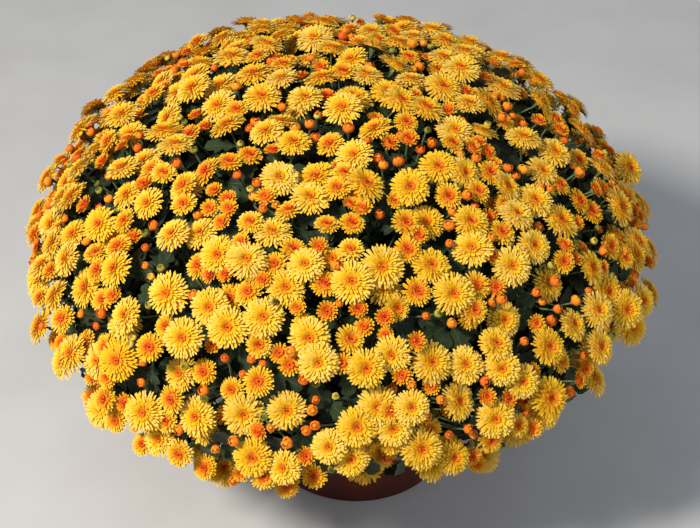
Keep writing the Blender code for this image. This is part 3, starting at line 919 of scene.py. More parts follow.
def shell_faces(rows, sides):
    """Triangles of rings that run out and down, closed by the upper and lower points that follow them."""
    upper, last = rows * sides, (rows - 1) * sides
    under = cap_faces(last, sides, upper + 1)[:, (1, 0, 2)]
    return np.vstack([grid_faces(rows, sides, closed=True), cap_faces(0, sides, upper), under])


def around(sides):
    """Cosines and sines of even angles round a circle, as columns."""
    angle = math.tau * np.arange(sides)[:, None] / sides
    return np.cos(angle), np.sin(angle)


def petal_pattern(rows, columns, shoulder):
    """A petal's net: the step along and side of each point, and its triangles.

    A net of three columns ends in a row whose middle point is the petal's tip, and one of two columns in
    a tip of its own.
    """
    steps = [step for step in rows for _ in range(columns)]
    sides = list(np.linspace(-1, 1, columns)) * len(rows)
    if columns == 3:
        steps += [shoulder, PETAL_STEPS, shoulder]
        sides += [-1, 0, 1]
        faces = grid_faces(len(rows) + 1, 3)
    else:
        last = 2 * len(rows) - 2
        steps.append(PETAL_STEPS)
        sides.append(0)
        faces = np.vstack([grid_faces(len(rows), 2), [(last, last + 2, last + 1)]])
    return np.array(steps), np.array(sides, float), faces


PATTERNS = [petal_pattern(*row) for row in PETAL_NETS]


def petal_line(start, base, reach, first, last, power):
    """Distances from the axis and heights along the middle of each petal of a layer."""
    steps = np.linspace(0, 1, PETAL_STEPS + 1)
    bend = first[:, None] + (last - first)[:, None] * steps**power
    middle = (bend[:, 1:] + bend[:, :-1]) / 2
    step = reach[:, None] / PETAL_STEPS
    none = np.zeros((len(reach), 1))
    out = start + np.hstack([none, np.cumsum(np.cos(middle) * step, axis=1)])
    rise = base + np.hstack([none, np.cumsum(np.sin(middle) * step, axis=1)])
    return steps, bend, out, rise


def add_petals(pile, bloom, layer, inner, phase, draw):
    """One layer of petals, each a channelled strap with a rounded tip."""
    count, length, start, low, high, half_width, heat, net = layer
    form = FORMS[bloom["kind"]]
    radius, axis = bloom["radius"], bloom["axis"]
    spin = np.arange(count) + draw.uniform(-PETAL_JITTER, PETAL_JITTER, count)
    spin = math.tau * (spin + phase) / count
    reach = radius * length * draw.uniform(*PETAL_REACH, count)
    first = np.radians(low + draw.normal(0, PETAL_SWAY, count))
    last = np.radians(high + draw.normal(0, 2 * PETAL_SWAY, count))
    base = radius * (form["base"] + form["dome"] * inner)
    steps, bend, out, rise = petal_line(radius * start, base, reach, first, last, form["power"])
    index, sides, net_faces = PATTERNS[net]
    along = steps[index]
    across_way, other = square_to(axis)
    radial = (np.cos(spin)[:, None] * across_way + np.sin(spin)[:, None] * other)[:, None]
    tangent = np.cross(axis, radial)
    sway = draw.normal(0, PETAL_LEAN, count)[:, None] * along**2 * reach[:, None]
    centre = bloom["place"] + out[:, index, None] * radial + rise[:, index, None] * axis
    lift = -np.sin(bend)[:, index, None] * radial + np.cos(bend)[:, index, None] * axis
    twist = (draw.normal(0, PETAL_TWIST, count)[:, None] * along)[..., None]
    side = np.cos(twist) * tangent + np.sin(twist) * lift
    half = half_width * bloom["girth"] * np.interp(along, *PETAL_SHAPE)
    points = centre + (sway + half * sides)[..., None] * side
    points = points + (PETAL_CUP * half * sides**2)[:, None] * lift
    warmth = heat + bloom["warmth"] + BASE_WARMTH * (1 - along) - form["pale"] * along**PALE_POWER
    tint = draw.uniform(-1, 1, count)[:, None]
    values = value_rows((count, len(index)), np.clip(warmth, 0, 1), along, sides, tint)
    faces = net_faces[None] + np.arange(count)[:, None, None] * len(index)
    pile.add(points.reshape(-1, 3), faces.reshape(-1, 3), values)


def turned_rings(place, axis, shape, sides, pleat=0.0):
    """Rings of points about an axis, from radius and height for each ring. A pleat moves every other
    spoke in by that share."""
    first, second = square_to(axis)
    cosines, sines = around(sides)
    spokes = (cosines * first + sines * second) * (1 - pleat * (np.arange(sides) % 2))[:, None]
    return np.concatenate([place + radius * spokes + height * axis for radius, height in shape])


def add_cup(pile, bloom, form, draw):
    """The green cup that holds a bloom on its stalk."""
    radius, base = bloom["radius"], form["base"]
    shape = [(STALK_TIP, -bloom["neck"])]
    shape += [(radius * wide, radius * (base + high)) for wide, high in form["cup"]]
    points = turned_rings(bloom["place"], bloom["axis"], shape, CUP_SIDES)
    along = np.linspace(0, 1, len(shape))[:, None]
    across = np.cos(math.tau * np.arange(CUP_SIDES) * BRACTS / CUP_SIDES)
    size = (len(shape), CUP_SIDES)
    pile.add(points, tube_faces(*size),
             value_rows(size, draw.uniform(*CUP_HEAT), along, across, draw.uniform(-1, 1)))


def add_core(pile, bloom, form):
    """The dome of small packed petals under the outer ones, as warm as they are at each ring."""
    radius, place, axis, sides = bloom["radius"], bloom["place"], bloom["axis"], CORE_SIDES[bloom["kind"]]
    wide, high = np.array(form["core"]).T
    shape = np.column_stack([radius * wide, radius * (form["base"] + high)])
    rows = len(shape) - 1
    points = turned_rings(place, axis, shape[:-1], sides, CORE_PLEAT)
    points = np.vstack([points, place + shape[-1][1] * axis])
    faces = np.vstack([tube_faces(rows, sides), cap_faces((rows - 1) * sides, sides, rows * sides)])
    *_, rim, _ = form["layers"][0]
    warmth = bloom["warmth"] + rim + (form["core_heat"] - rim) * (1 - wide / wide[0]) ** 2
    warmth = np.clip(np.append(np.repeat(warmth[:-1], sides), warmth[-1]), 0, 1)
    across = np.append(np.tile(np.arange(sides) % 2, rows), 0)
    # The dome takes a middle place along the petals' painted shade, so it is dimmed as their middles are
    pile.add(points, faces, value_rows(len(points), warmth, CORE_ALONG, across, 0))


def add_bloom(petals, greens, bloom, draw):
    """A bloom or bud: its layers of petals, the dome they stand on and the green cup that holds them."""
    form = FORMS[bloom["kind"]]
    layers = form["layers"]
    phase = draw.uniform()
    for number, layer in enumerate(layers):
        add_petals(petals, bloom, layer, number / (len(layers) - 1), phase + number / 2, draw)
    add_core(petals, bloom, form)
    add_cup(greens, bloom, form, draw)


def bezier(a, b, c, d, steps):
    t = np.linspace(0, 1, steps + 1)[:, None]
    return a * (1 - t) ** 3 + b * 3 * t * (1 - t) ** 2 + c * 3 * t * t * (1 - t) + d * t**3


def add_tube(pile, path, radii, sides, heat):
    """A tube along a path, with no caps: its ends lie inside what they join."""
    ways = unit(np.gradient(path, axis=0))
    first = square_to(ways[0])[0]
    cosines, sines = around(sides)
    loops = []
    for point, way, radius in zip(path, ways, radii):
        first = unit(first - way * (first @ way))
        loops.append(point + radius * (cosines * first + sines * np.cross(way, first)))
    along = np.linspace(0, 1, len(path))[:, None]
    size = (len(path), sides)
    pile.add(np.concatenate(loops), tube_faces(*size), value_rows(size, heat, along, cosines[:, 0], 0))


def add_blade_mesh(pile, base, out, up, length, columns, draw):
    """A lobed leaf: folded along its midrib, with a drooping tip and wavy edges."""
    along, half = np.array(LEAF_ROWS).T[..., None]
    half = half * length * draw.uniform(*BLADE_WIDTH)
    droop, fold = draw.uniform(*BLADE_DROOP), draw.uniform(*BLADE_FOLD)
    wave = draw.uniform(*BLADE_WAVE) * length
    phase, lean = draw.uniform(0, math.tau), draw.normal(0, BLADE_LEAN)
    across = np.linspace(-1, 1, columns)
    edge = np.abs(across)
    forward = along + LOBE_SWEEP * edge**2 * (half / length)
    sideways = across * half + lean * along**2 * length
    height = -droop * along**2 * length + fold * edge * half - 0.5 * fold * edge**2 * half
    height = height + wave * edge * np.sin(BLADE_WAVES * math.pi * along + phase + across)
    points = base + forward[..., None] * length * out + sideways[..., None] * np.cross(up, out)
    points = points + height[..., None] * up
    size = (len(along), columns)
    values = value_rows(size, draw.uniform(0, 1), along, across, draw.uniform(-1, 1))
    pile.add(points.reshape(-1, 3), grid_faces(*size), values)


def depth_of(point):
    """About how far a point is below the mound's surface."""
    x, y, z = point - np.array(MOUND_CENTRE)
    share = math.sqrt((x * x + y * y) / MOUND_RADIUS**2 + (z / mound_half(z)) ** 2)
    return (1 - share) * math.sqrt(x * x + y * y + z * z)


def beside_and_above(apart, axes):
    """How far places are from axes, and how far along them."""
    above = (apart * axes).sum(axis=1)
    return np.sqrt(np.maximum((apart**2).sum(axis=1) - above**2, 0)), above


def leaf_fits(joint, out, length, discs):
    """Whether a leaf stays under the mound's surface, behind the flowers and above the floor."""
    tip = joint + out * length
    if depth_of(tip) < LEAF_DEPTH or tip[2] < LEAF_FLOOR:
        return False
    return all(behind(joint + out * length * share, discs) for share in LEAF_CHECKS)


def behind(point, discs):
    """Whether a point isn't in a flower or in front of one."""
    places, axes, radii = discs
    beside, above = beside_and_above(point - places, axes)
    return not np.any((above > -LEAF_BEHIND) & (above < LEAF_BEFORE) & (beside < radii + LEAF_BESIDE))


def add_shy_leaf(pile, joint, out, length, draw):
    """A leaf that spreads along the mound. One that is deep inside has no fold."""
    outward = array(mound_normal(Vector(joint)))
    up = unit(outward + draw.normal(0, LEAF_TURN, 3))
    up = unit(up - out * (up @ out))
    add_blade_mesh(pile, joint, out, up, length, 2 if depth_of(joint) > DEEP else 3, draw)


def add_free_leaf(pile, joint, size, discs, draw):
    """A leaf in the first direction round a joint in which it stays under the flowers. Gives its middle."""
    outward = array(mound_normal(Vector(joint)))
    first, second = square_to(outward)
    length = draw.uniform(*size)
    spin = draw.uniform(0, math.tau)
    for turn in range(LEAF_TRIES):
        angle = spin + turn * GOLDEN_ANGLE
        out = first * math.cos(angle) + second * math.sin(angle)
        out = unit(out + outward * draw.uniform(*LEAF_RISE))
        if leaf_fits(joint, out, length, discs):
            add_shy_leaf(pile, joint, out, length, draw)
            return [joint + out * length * LEAF_CENTRE]
    return []


def fill_leaves(joints, owners, middles, piles, discs, draw):
    """Leaves from the nearest joint towards each place inside the mound that has none near it."""
    middles = np.array(middles)
    for depth, tries, spacing in LEAF_SHELLS:
        for _ in range(tries):
            top = even_place(LOWEST_LEAF_TURN, draw)
            place = array(top) - array(mound_normal(top)) * depth * draw.uniform(*SHELL_SPREAD)
            if ((middles - place) ** 2).sum(axis=1).min() < spacing**2:
                continue
            apart = ((joints - place) ** 2).sum(axis=1)
            nearest = int(apart.argmin())
            reach = math.sqrt(apart[nearest])
            if not SHORTEST_REACH < reach < LONGEST_REACH:
                continue
            joint, length = joints[nearest], min(max(reach / LEAF_CENTRE, LEAF_SPAN[0]), LEAF_SPAN[1])
            out = (place - joint) / reach
            if leaf_fits(joint, out, length, discs):
                add_shy_leaf(piles[owners[nearest]], joint, out, length, draw)
                middles = np.vstack([middles, joint + out * length * LEAF_CENTRE])


def bareness(place):
    """High where the flowers stand apart and low where they crowd together."""
    return noise.noise(Vector(place) * BARE_SCALE)


def bare_level(turn):
    """From which bareness on no filler stands: the flowers are thinner near the hem."""
    return BARE_LEVELS[0] + (BARE_LEVELS[1] - BARE_LEVELS[0]) * (turn / LOWEST_TURN) ** 2


def crowded(place, outward):
    """A place moved along the mound's surface, away from the bare patches."""
    slope = np.array([bareness(place + step) - bareness(place - step) for step in np.eye(3) * BARE_STEP])
    slope -= outward * (slope @ outward)
    push = -slope * BARE_PUSH
    size = np.linalg.norm(push)
    return place + push * min(1, BARE_LIMIT / max(size, TINY))


def spin_and_turn(place):
    """Where on the mound a place is: round its axis, and down from its top."""
    apart = array(place) - MOUND_CENTRE
    out, rise = math.hypot(apart[0], apart[1]) / MOUND_RADIUS, apart[2] / mound_half(apart[2])
    return math.atan2(apart[1], apart[0]), math.atan2(out, rise)


def hem(spin):
    """How far down the flowers reach, and how much they are lifted there."""
    lowest, lift = LOWEST_TURN, 0.0
    for *angles, height in HEMS:
        middle, spread, rise = map(math.radians, angles)
        away = math.remainder(spin - middle, math.tau) / spread
        share = math.exp(-away * away)
        lowest, lift = lowest - rise * share, lift + height * share
    return lowest, lift


def above_hem(place):
    """A place moved up where it is near the hem of the flowers."""
    spin, turn = spin_and_turn(place)
    share = min(max((turn - HEM_START) / (LOWEST_TURN - HEM_START), 0), 1)
    return place + (0, 0, hem(spin)[1] * share * share * (3 - 2 * share))


def life_size(branches, draw):
    """The solid heads as fine blooms at the same places, crowded together here and there."""
    blooms = []
    for number, branch in enumerate(branches):
        for head in branch["heads"]:
            kind, axis = KINDS.index(head["kind"]), array(head["axis"])
            place = above_hem(crowded(array(head["place"]), axis))
            axis = unit(axis + (0, 0, HEAD_LIFT * max(0, LIFT_BELOW - axis[2])))
            bloom = dict(branch=number, kind=kind, place=place, axis=axis, neck=KINDS[kind]["neck"])
            bloom["radius"] = head["radius"] * LIFE[kind]
            blooms.append(dressed(bloom, draw))
    return blooms


def dressed(bloom, draw):
    """Gives a bloom its own warmth and girth, and turns some buds into small green ones."""
    bloom["warmth"] = draw.normal(*WARMTHS[bloom["kind"]])
    bloom["girth"] = draw.uniform(*GIRTH)
    if bloom["kind"] == OPEN_BLOOM and draw.random() < RIPE_SHARE:
        bloom["warmth"] -= RIPE_PALER
    if bloom["kind"] == ORANGE_BUD and draw.random() < GREEN_SHARE:
        bloom["kind"] = GREEN_BUD
        bloom["radius"] = draw.uniform(*GREEN_RADII)
    return bloom


def clear_of(bloom, taken, overlap, above_limit):
    """Whether a bloom is clear of the discs that are there, beside them, above them or below them."""
    places, axes, radii = taken
    beside, above = beside_and_above(bloom["place"] - places, unit(axes + bloom["axis"]))
    return not np.any((beside < (radii + bloom["radius"]) * overlap) & (np.abs(above) < above_limit))


def even_place(lowest, draw):
    """A point of the mound's surface, drawn evenly by its area, down to a turn from its top."""
    while True:
        turn, spin = math.acos(draw.uniform(math.cos(lowest), 1)), draw.uniform(-math.pi, math.pi)
        half = mound_half(math.cos(turn))
        area = math.hypot(MOUND_RADIUS * math.cos(turn), half * math.sin(turn)) / MOUND_RADIUS
        if draw.random() < area:
            return mound_point(turn, spin)


def discs_of(blooms):
    return [np.array([bloom[key] for bloom in blooms]) for key in DISC_KEYS]


def filler_fits(kind, top):
    """Whether a filler may stand at a place: above the hem, off the pot and not in a bare patch."""
    spin, turn = spin_and_turn(top)
    if turn > hem(spin)[0] or in_window(top):
        return False
    return kind >= ORANGE_BUD or not (in_gap(top, FILLER_GAP) or bareness(top) > bare_level(turn))


def make_filler(kind, radii, levels, top, draw):
    outward = array(mound_normal(top))
    radius = draw.uniform(*radii)
    lift = np.array((0, 0, FILLER_LIFT * (1 - outward[2])))
    axis = unit(outward + lift + draw.normal(0, FILLER_TILT, 3))
    place = above_hem(array(top) - outward * draw.uniform(*levels))
    return dict(kind=kind, place=place, axis=axis, radius=radius, neck=KINDS[kind]["neck"])


def fill_in(branches, blooms, draw):
    """More blooms and buds, first where the mound is bare and then over and under what is there."""
    taken = discs_of(blooms)
    tops = np.array([array(branch["top"]) for branch in branches])
    for kind, wanted, radii, tries, overlap, above_limit, levels in FILLERS:
        for _ in range(tries):
            if not wanted:
                break
            top = even_place(LOWEST_TURN, draw)
            if not filler_fits(kind, top):
                continue
            bloom = make_filler(kind, radii, levels, top, draw)
            if clear_of(bloom, taken, overlap, above_limit):
                bloom["branch"] = int(((tops - array(top)) ** 2).sum(axis=1).argmin())
                taken = [np.concatenate([old, [bloom[key]]]) for old, key in zip(taken, DISC_KEYS)]
                blooms.append(dressed(bloom, draw))
                wanted -= 1
    return blooms


def in_window(place):
    """Whether a place hides the part of the pot that shows below the flowers."""
    spin, turn, wide, high = POT_WINDOW
    apart = place - mound_point(turn, spin)
    return abs(apart.x) < wide and abs(apart.z) < high and place.y < 0


def grow_stalk(greens, leaves, branch, bloom, discs, draw):
    """A bloom's stalk from its branch's stem, and the small leaves on it. Gives the points where leaves
    can grow, and the middles of those that do."""
    normal, axis = array(branch["normal"]), bloom["axis"]
    root = array(branch["centre"]) - normal * draw.uniform(*STALK_ROOT)
    neck = bloom["place"] - axis * bloom["neck"]
    reach = np.linalg.norm(neck - root)
    way = (neck - root) / reach
    low, high = root + (way + normal) * reach * STALK_PULL[0], neck - axis * reach * STALK_PULL[1]
    path = bezier(root, low, high, neck, STALK_STEPS)
    add_tube(greens, path, np.linspace(STALK_ROOT_RADIUS, STALK_TIP, len(path)), STALK_SIDES, STALK_HEAT)
    middles = []
    for _ in range(int(STALK_LEAVES[bloom["kind"]] + draw.random())):
        middles += add_free_leaf(leaves, path[draw.integers(2, STALK_STEPS)], SMALL_LEAF, discs, draw)
    return list(path[:-1]), middles


def add_large_leaves(leaves, branch, draw):
    """The solid leaves as fine ones, shifted with the blooms over them. Gives their middles."""
    centre, middles = array(branch["centre"]), []
    for leaf in branch["leaves"]:
        length, up = leaf["length"] + LEAF_STALK, array(leaf["up"])
        tip = centre + array(leaf["out"]) * length
        out = unit(above_hem(crowded(tip, array(mound_normal(Vector(tip))))) - centre)
        add_blade_mesh(leaves, centre, out, unit(up - out * (up @ out)), length, LEAF_COLUMNS, draw)
        middles.append(centre + out * length * LEAF_CENTRE)
    return middles


def grow_branch(number, branch, blooms, discs, draw):
    """A branch's flowers, buds, stem with its stalks, and leaves, as piles, with its joints and the
    middles of its leaves."""
    petals, buds, greens, leaves = Pile(), Pile(), Pile(), Pile()
    knot = branch["centre"] - branch["normal"] * KNOT_RADIUS
    path = stem_path(branch["foot"], knot, branch["normal"], FINE_STEPS) + [branch["centre"]]
    path = np.array([tuple(point) for point in path])
    add_tube(greens, path, np.linspace(STEM_FOOT, STEM_TOP, len(path)), STEM_FINE_SIDES, STEM_HEAT)
    joints, middles = list(path[FIRST_LEAF_STEP:]), []
    for bloom in blooms:
        if bloom["branch"] == number:
            add_bloom(buds if bloom["kind"] >= ORANGE_BUD else petals, greens, bloom, draw)
            more_joints, more_middles = grow_stalk(greens, leaves, branch, bloom, discs, draw)
            joints, middles = joints + more_joints, middles + more_middles
    middles += add_large_leaves(leaves, branch, draw)
    return (petals, buds, greens, leaves), joints, middles


def make_plant():
    """Every branch of the plant: first as piles, with leaves between them, and then as pieces."""
    placing = random.Random(SEED)
    branches = make_branches(placing)
    place_leaves(branches, place_heads(branches, placing), placing)
    draw = np.random.default_rng(SEED)
    blooms = fill_in(branches, life_size(branches, draw), draw)
    discs = discs_of(blooms)
    made = [grow_branch(number, branch, blooms, discs, draw) for number, branch in enumerate(branches)]
    joints = np.array([joint for _, own, _ in made for joint in own])
    owners = [number for number, (_, own, _) in enumerate(made) for _ in own]
    middles = [middle for _, _, own in made for middle in own]
    fill_leaves(joints, owners, middles, [piles[-1] for piles, _, _ in made], discs, draw)
    surfaces = (petal_look(), bud_look(), stem_look(), leaf_look())
    for branch, (piles, _, _) in zip(branches, made):
        node = branch["name"]
        for pile, surface, (name, slot) in zip(piles, surfaces, PIECES):
            if pile.count:
                pile.piece(name + node[-2:], surface, slot, node)


class Look:
    """A node material under construction."""

    def __init__(self, name):
        self.surface = bpy.data.materials.new(name)
        self.surface.use_nodes = True
        self.tree = self.surface.node_tree
        self.shader = self.tree.nodes["Principled BSDF"]

    def node(self, kind, **settings):
        made = self.tree.nodes.new(kind)
        for key, value in settings.items():
            if key in made.inputs:
                made.inputs[key].default_value = value
            else:
                setattr(made, key, value)
        return made

    def link(self, out, into):
        self.tree.links.new(out, into)

    def value(self, key):
        return self.node("ShaderNodeAttribute", attribute_name=key).outputs["Fac"]

    def math(self, operation, a, b=0):
        made = self.node("ShaderNodeMath", operation=operation)
        for socket, given in zip(made.inputs, (a, b)):
            if isinstance(given, (int, float)):
                socket.default_value = given
            else:
                self.link(given, socket)
        return made.outputs[0]

    def times(self, a, b):
        return self.math("MULTIPLY", a, b)

    def plus(self, a, b):
        return self.math("ADD", a, b)

    def noise(self, scale, detail, stretch=None):
        """Noise through the piece, finer as its scale and detail are higher."""
        made = self.node("ShaderNodeTexNoise", Scale=scale, Detail=detail)
        place = self.node("ShaderNodeTexCoord").outputs["Object"]
        if stretch:
            mapping = self.node("ShaderNodeMapping", Scale=stretch)
            self.link(place, mapping.inputs["Vector"])
            place = mapping.outputs[0]
        self.link(place, made.inputs["Vector"])
        return made.outputs["Fac"]

    def ramp(self, factor, stops):
        made = self.node("ShaderNodeValToRGB")
        points = made.color_ramp.elements
        for point, (where, colour) in zip((points[0], points[-1]), (stops[0], stops[-1])):
            point.position = where
            point.color = (*colour, 1)
        for where, colour in stops[1:-1]:
            points.new(where).color = (*colour, 1)
        self.link(factor, made.inputs["Fac"])
        return made.outputs["Color"]

    def between(self, factor, low, high):
        """From low to high as a factor goes from 0 to 1."""
        made = self.node("ShaderNodeMapRange", **{"To Min": low, "To Max": high})
        self.link(factor, made.inputs["Value"])
        return made.outputs[0]

    def shade(self, colour, factor, low, high):
        """A colour times a grey between low and high."""
        made = self.node("ShaderNodeVectorMath", operation="SCALE")
        self.link(colour, made.inputs[0])
        self.link(self.between(factor, low, high), made.inputs["Scale"])
        return made.outputs[0]

    def blend(self, factor, colour, other):
        made = self.node("ShaderNodeMix", data_type="RGBA")
        self.link(factor, made.inputs["Factor"])
        self.link(colour, made.inputs["A"])
        made.inputs["B"].default_value = (*other, 1)
        return made.outputs["Result"]

    def bumps(self, relief, strength, height):
        made = self.node("ShaderNodeBump", Strength=strength, Distance=height)
        self.link(relief, made.inputs["Height"])
        self.link(made.outputs["Normal"], self.shader.inputs["Normal"])

    def roughness(self, factor, low, high):
        self.link(self.between(factor, low, high), self.shader.inputs["Roughness"])

    def finish(self, colour, **settings):
        self.link(colour, self.shader.inputs["Base Color"])
        for key, value in settings.items():
            self.shader.inputs[key.replace("_", " ")].default_value = value
        return self.surface


def petal_look():
    """Silky petals: yellow to red by heat, with a pale edge, faint lengthwise veins, a soft sheen and
    painted shade at each base.
    """
    look = Look("chrysanthemum_petal")
    patches = look.times(look.math("SUBTRACT", look.noise(scale=260, detail=3), MEAN_NOISE), PETAL_PATCHES)
    heat = look.plus(look.plus(look.value("warmth"), patches), look.times(look.value("tint"), PETAL_OWN))
    across = look.value("across")
    colour = look.ramp(heat, PETAL_STOPS)
    colour = look.shade(colour, look.math("ABSOLUTE", across), low=0.93, high=1.06)
    # Painted shade: each petal darker towards its base, where it lies under others, and slightly lighter at
    # its tip
    colour = look.shade(colour, look.value("along"), low=0.74, high=1.04)
    veins = look.math("SINE", look.times(across, PETAL_VEINS))
    grain = look.times(look.noise(scale=900, detail=2), PETAL_GRAIN)
    look.bumps(look.plus(veins, grain), strength=0.35, height=0.0004)
    look.roughness(look.noise(scale=500, detail=2), low=0.42, high=0.66)
    return look.finish(colour, Specular_IOR_Level=0.12, Sheen_Weight=0.02)


def bud_look():
    """Buds: tight petals from green through yellow to orange and red, rough with fine hairs, with painted
    shade at their bases.
    """
    look = Look("chrysanthemum_bud")
    patches = look.times(look.math("SUBTRACT", look.noise(scale=420, detail=3), MEAN_NOISE), BUD_PATCHES)
    colour = look.ramp(look.plus(look.value("warmth"), patches), BUD_STOPS)
    # Painted shade: bud petals darker towards their bases, where they lie under others, and lighter towards
    # their tips
    colour = look.shade(colour, look.value("along"), low=0.70, high=1.10)
    hairs = look.plus(look.value("across"), look.noise(scale=1300, detail=3))
    look.bumps(hairs, strength=0.40, height=0.0004)
    look.roughness(look.noise(scale=700, detail=2), low=0.50, high=0.74)
    return look.finish(colour, Specular_IOR_Level=0.16, Sheen_Weight=0.05)


def leaf_look():
    """Matt lobed leaves: mottled dark green, with a pale midrib and side veins."""
    look = Look("chrysanthemum_leaf")
    mottle = look.noise(scale=160, detail=4)
    colour = look.shade(look.ramp(look.value("warmth"), LEAF_STOPS), mottle, low=0.72, high=1.25)
    away = look.math("ABSOLUTE", look.value("across"))
    midrib = look.math("LESS_THAN", away, MIDRIB)
    along = look.math("SUBTRACT", look.value("along"), look.times(away, RIB_SWEEP))
    ribs = look.math("SINE", look.times(along, RIBS))
    side = look.times(look.math("GREATER_THAN", ribs, RIB_THIN), RIB_PALE)
    veins = look.math("MAXIMUM", look.times(midrib, VEIN_PALE), side)
    colour = look.blend(veins, colour, VEIN_COLOUR)
    relief = look.math("SUBTRACT", look.noise(scale=650, detail=4), look.times(veins, VEIN_PALE))
    look.bumps(relief, strength=0.55, height=0.0008)
    look.roughness(mottle, low=0.50, high=0.78)
    return look.finish(colour, Specular_IOR_Level=0.30, Sheen_Weight=0.06)


def stem_look():
    """Ridged, slightly hairy stems, stalks and flower cups: pale green above, browner near the soil."""
    look = Look("chrysanthemum_stem")
    heat = look.plus(look.value("warmth"), look.times(look.noise(scale=120, detail=3), STEM_PATCHES))
    ridges = look.plus(look.value("across"), look.noise(scale=900, detail=3))
    colour = look.shade(look.ramp(heat, STEM_STOPS), ridges, low=0.80, high=1.15)
    look.bumps(ridges, strength=0.45, height=0.0005)
    look.roughness(look.noise(scale=300, detail=2), low=0.45, high=0.70)
    return look.finish(colour, Specular_IOR_Level=0.35, Sheen_Weight=0.10)


def plastic_look():
    """Thin moulded plastic: brown-red, with swirls from the mould, dust and fine rubbed scratches."""
    look = Look("moulded_pot_plastic")
    swirl = look.noise(scale=14, detail=5, stretch=(1, 1, 0.35))
    dust = look.times(look.math("POWER", look.noise(scale=45, detail=8), DUST_SHARP), DUST_SHARE)
    colour = look.blend(dust, look.ramp(swirl, PLASTIC_STOPS), DUST_COLOUR)
    scratches = look.noise(scale=420, detail=4, stretch=(1, 1, 0.05))
    relief = look.plus(look.noise(scale=700, detail=3), look.times(scratches, SCRATCH_DEPTH))
    look.bumps(relief, strength=0.18, height=0.0005)
    look.roughness(look.plus(look.times(scratches, SCRATCH_ROUGH), swirl), low=0.34, high=0.62)
    return look.finish(colour, Specular_IOR_Level=0.20)


def soil_look():
    """Damp peat: near-black to brown crumbs with pale bark specks."""
    look = Look("peat_soil")
    specks = look.times(look.math("GREATER_THAN", look.noise(scale=520, detail=2), SPECK_LEVEL), SPECK_SHARE)
    colour = look.blend(specks, look.ramp(look.noise(scale=230, detail=8), SOIL_STOPS), BARK_COLOUR)
    colour = look.shade(colour, look.value("tint"), low=0.75, high=1.45)
    look.bumps(look.noise(scale=480, detail=10), strength=0.9, height=0.002)
    look.roughness(look.noise(scale=200, detail=3), low=0.80, high=0.98)
    return look.finish(colour, Specular_IOR_Level=0.20)


def corner(centre, radius, start, end):
    """A rounded corner of a profile, from one angle to another in degrees."""
    angles = [math.radians(start + (end - start) * k / CORNER_STEPS) for k in range(CORNER_STEPS + 1)]
    return [(centre[0] + radius * math.cos(a), centre[1] + radius * math.sin(a)) for a in angles]


def wall_radius(height):
    """The outside of the pot's plain wall at a height."""
    top = POT_RIM_RADIUS - RIM_STEP
    return POT_BASE_RADIUS + height / (POT_HEIGHT - RIM_BAND) * (top - POT_BASE_RADIUS)


def pot_profile():
    """Radius and height from the floor's inside, up over the lip, and down to the hollow under it."""
    band, inner, lip = POT_HEIGHT - RIM_BAND, POT_RIM_RADIUS - POT_WALL, POT_HEIGHT - LIP_ROUND
    inset, rise = FLOOR_FILLET
    profile = [(DRAIN_DISH, POT_FLOOR), (wall_radius(POT_FLOOR) - POT_WALL - inset, POT_FLOOR)]
    profile += [(wall_radius(rise) - POT_WALL, rise)]
    inside = np.linspace(WALL_START, band - WALL_CLEAR, INSIDE_RINGS)
    profile += [(wall_radius(height) - POT_WALL, height) for height in inside]
    profile += [(inner - inset, band + rise) for inset, rise in STEP_INSIDE] + [(inner, lip)]
    edge = (POT_RIM_RADIUS - POT_WALL / 2, lip)
    profile += corner(edge, POT_WALL / 2, LEFT, UP)[1:] + corner(edge, POT_WALL / 2, UP, RIGHT)[1:]
    profile += [(POT_RIM_RADIUS, POT_HEIGHT - STEP_OUTSIDE), (POT_RIM_RADIUS, band + STEP_OUTSIDE)]
    small = LIP_ROUND / 2
    profile += corner((POT_RIM_RADIUS - small, band + small), small, RIGHT, DOWN)
    profile += corner((wall_radius(band) + STEP_ROUND, band - STEP_ROUND), STEP_ROUND, UP, LEFT)
    outside = np.linspace(band - STEP_OUTSIDE, OUTSIDE_START, OUTSIDE_RINGS)
    profile += [(wall_radius(height), height) for height in outside]
    profile += corner((wall_radius(FOOT_ROUND) - FOOT_ROUND, FOOT_ROUND), FOOT_ROUND, RIGHT, DOWN)
    profile += [(wall_radius(0) - FOOT_RIM, 0.0), (wall_radius(0) - FOOT_HOLLOW, HOLLOW_DEPTH)]
    return profile + [(DRAIN_DISH, HOLLOW_DEPTH)]


def make_pot(surface):
    """The pot, turned from its profile as one closed shell, with its drain holes cut through the floor."""
    profile = pot_profile()
    flat = np.hstack([*around(POT_FINE_SIDES), np.zeros((POT_FINE_SIDES, 1))])
    rings = [radius * flat + np.array((0, 0, height)) for radius, height in profile]
    points = np.vstack([*rings, (0, 0, POT_FLOOR), (0, 0, HOLLOW_DEPTH)])
    pile = Pile()
    pile.add(points, shell_faces(len(profile), POT_FINE_SIDES), value_rows(len(points), 0, 0, 0, 0))
    pot = pile.piece("pot_shell", surface, "pot_plastic", "pot")
    cut_drains(pot)
    pot.data.shade_smooth()
    pot.data.set_sharp_from_angle(angle=SHARP_ANGLE)


def cut_drains(pot):
    """Cuts the drain holes, and leaves neither the cutters nor the modifiers behind."""
    cutters = []
    for k in range(DRAIN_COUNT):
        spin = math.tau * (k + 0.5) / DRAIN_COUNT
        place = (DRAIN_RING * math.cos(spin), DRAIN_RING * math.sin(spin), 0)
        bpy.ops.mesh.primitive_cylinder_add(
            vertices=DRAIN_FINE_SIDES, radius=DRAIN_RADIUS, depth=DRAIN_CUT, location=place)
        cutters.append(bpy.context.object)
        cut = pot.modifiers.new("drain", "BOOLEAN")
        cut.operation, cut.solver, cut.object = "DIFFERENCE", "EXACT", cutters[-1]
    graph = bpy.context.evaluated_depsgraph_get()
    mesh = bpy.data.meshes.new_from_object(pot.evaluated_get(graph))
    pot.modifiers.clear()
    pot.data = mesh
    for cutter in cutters:
        bpy.data.objects.remove(cutter)


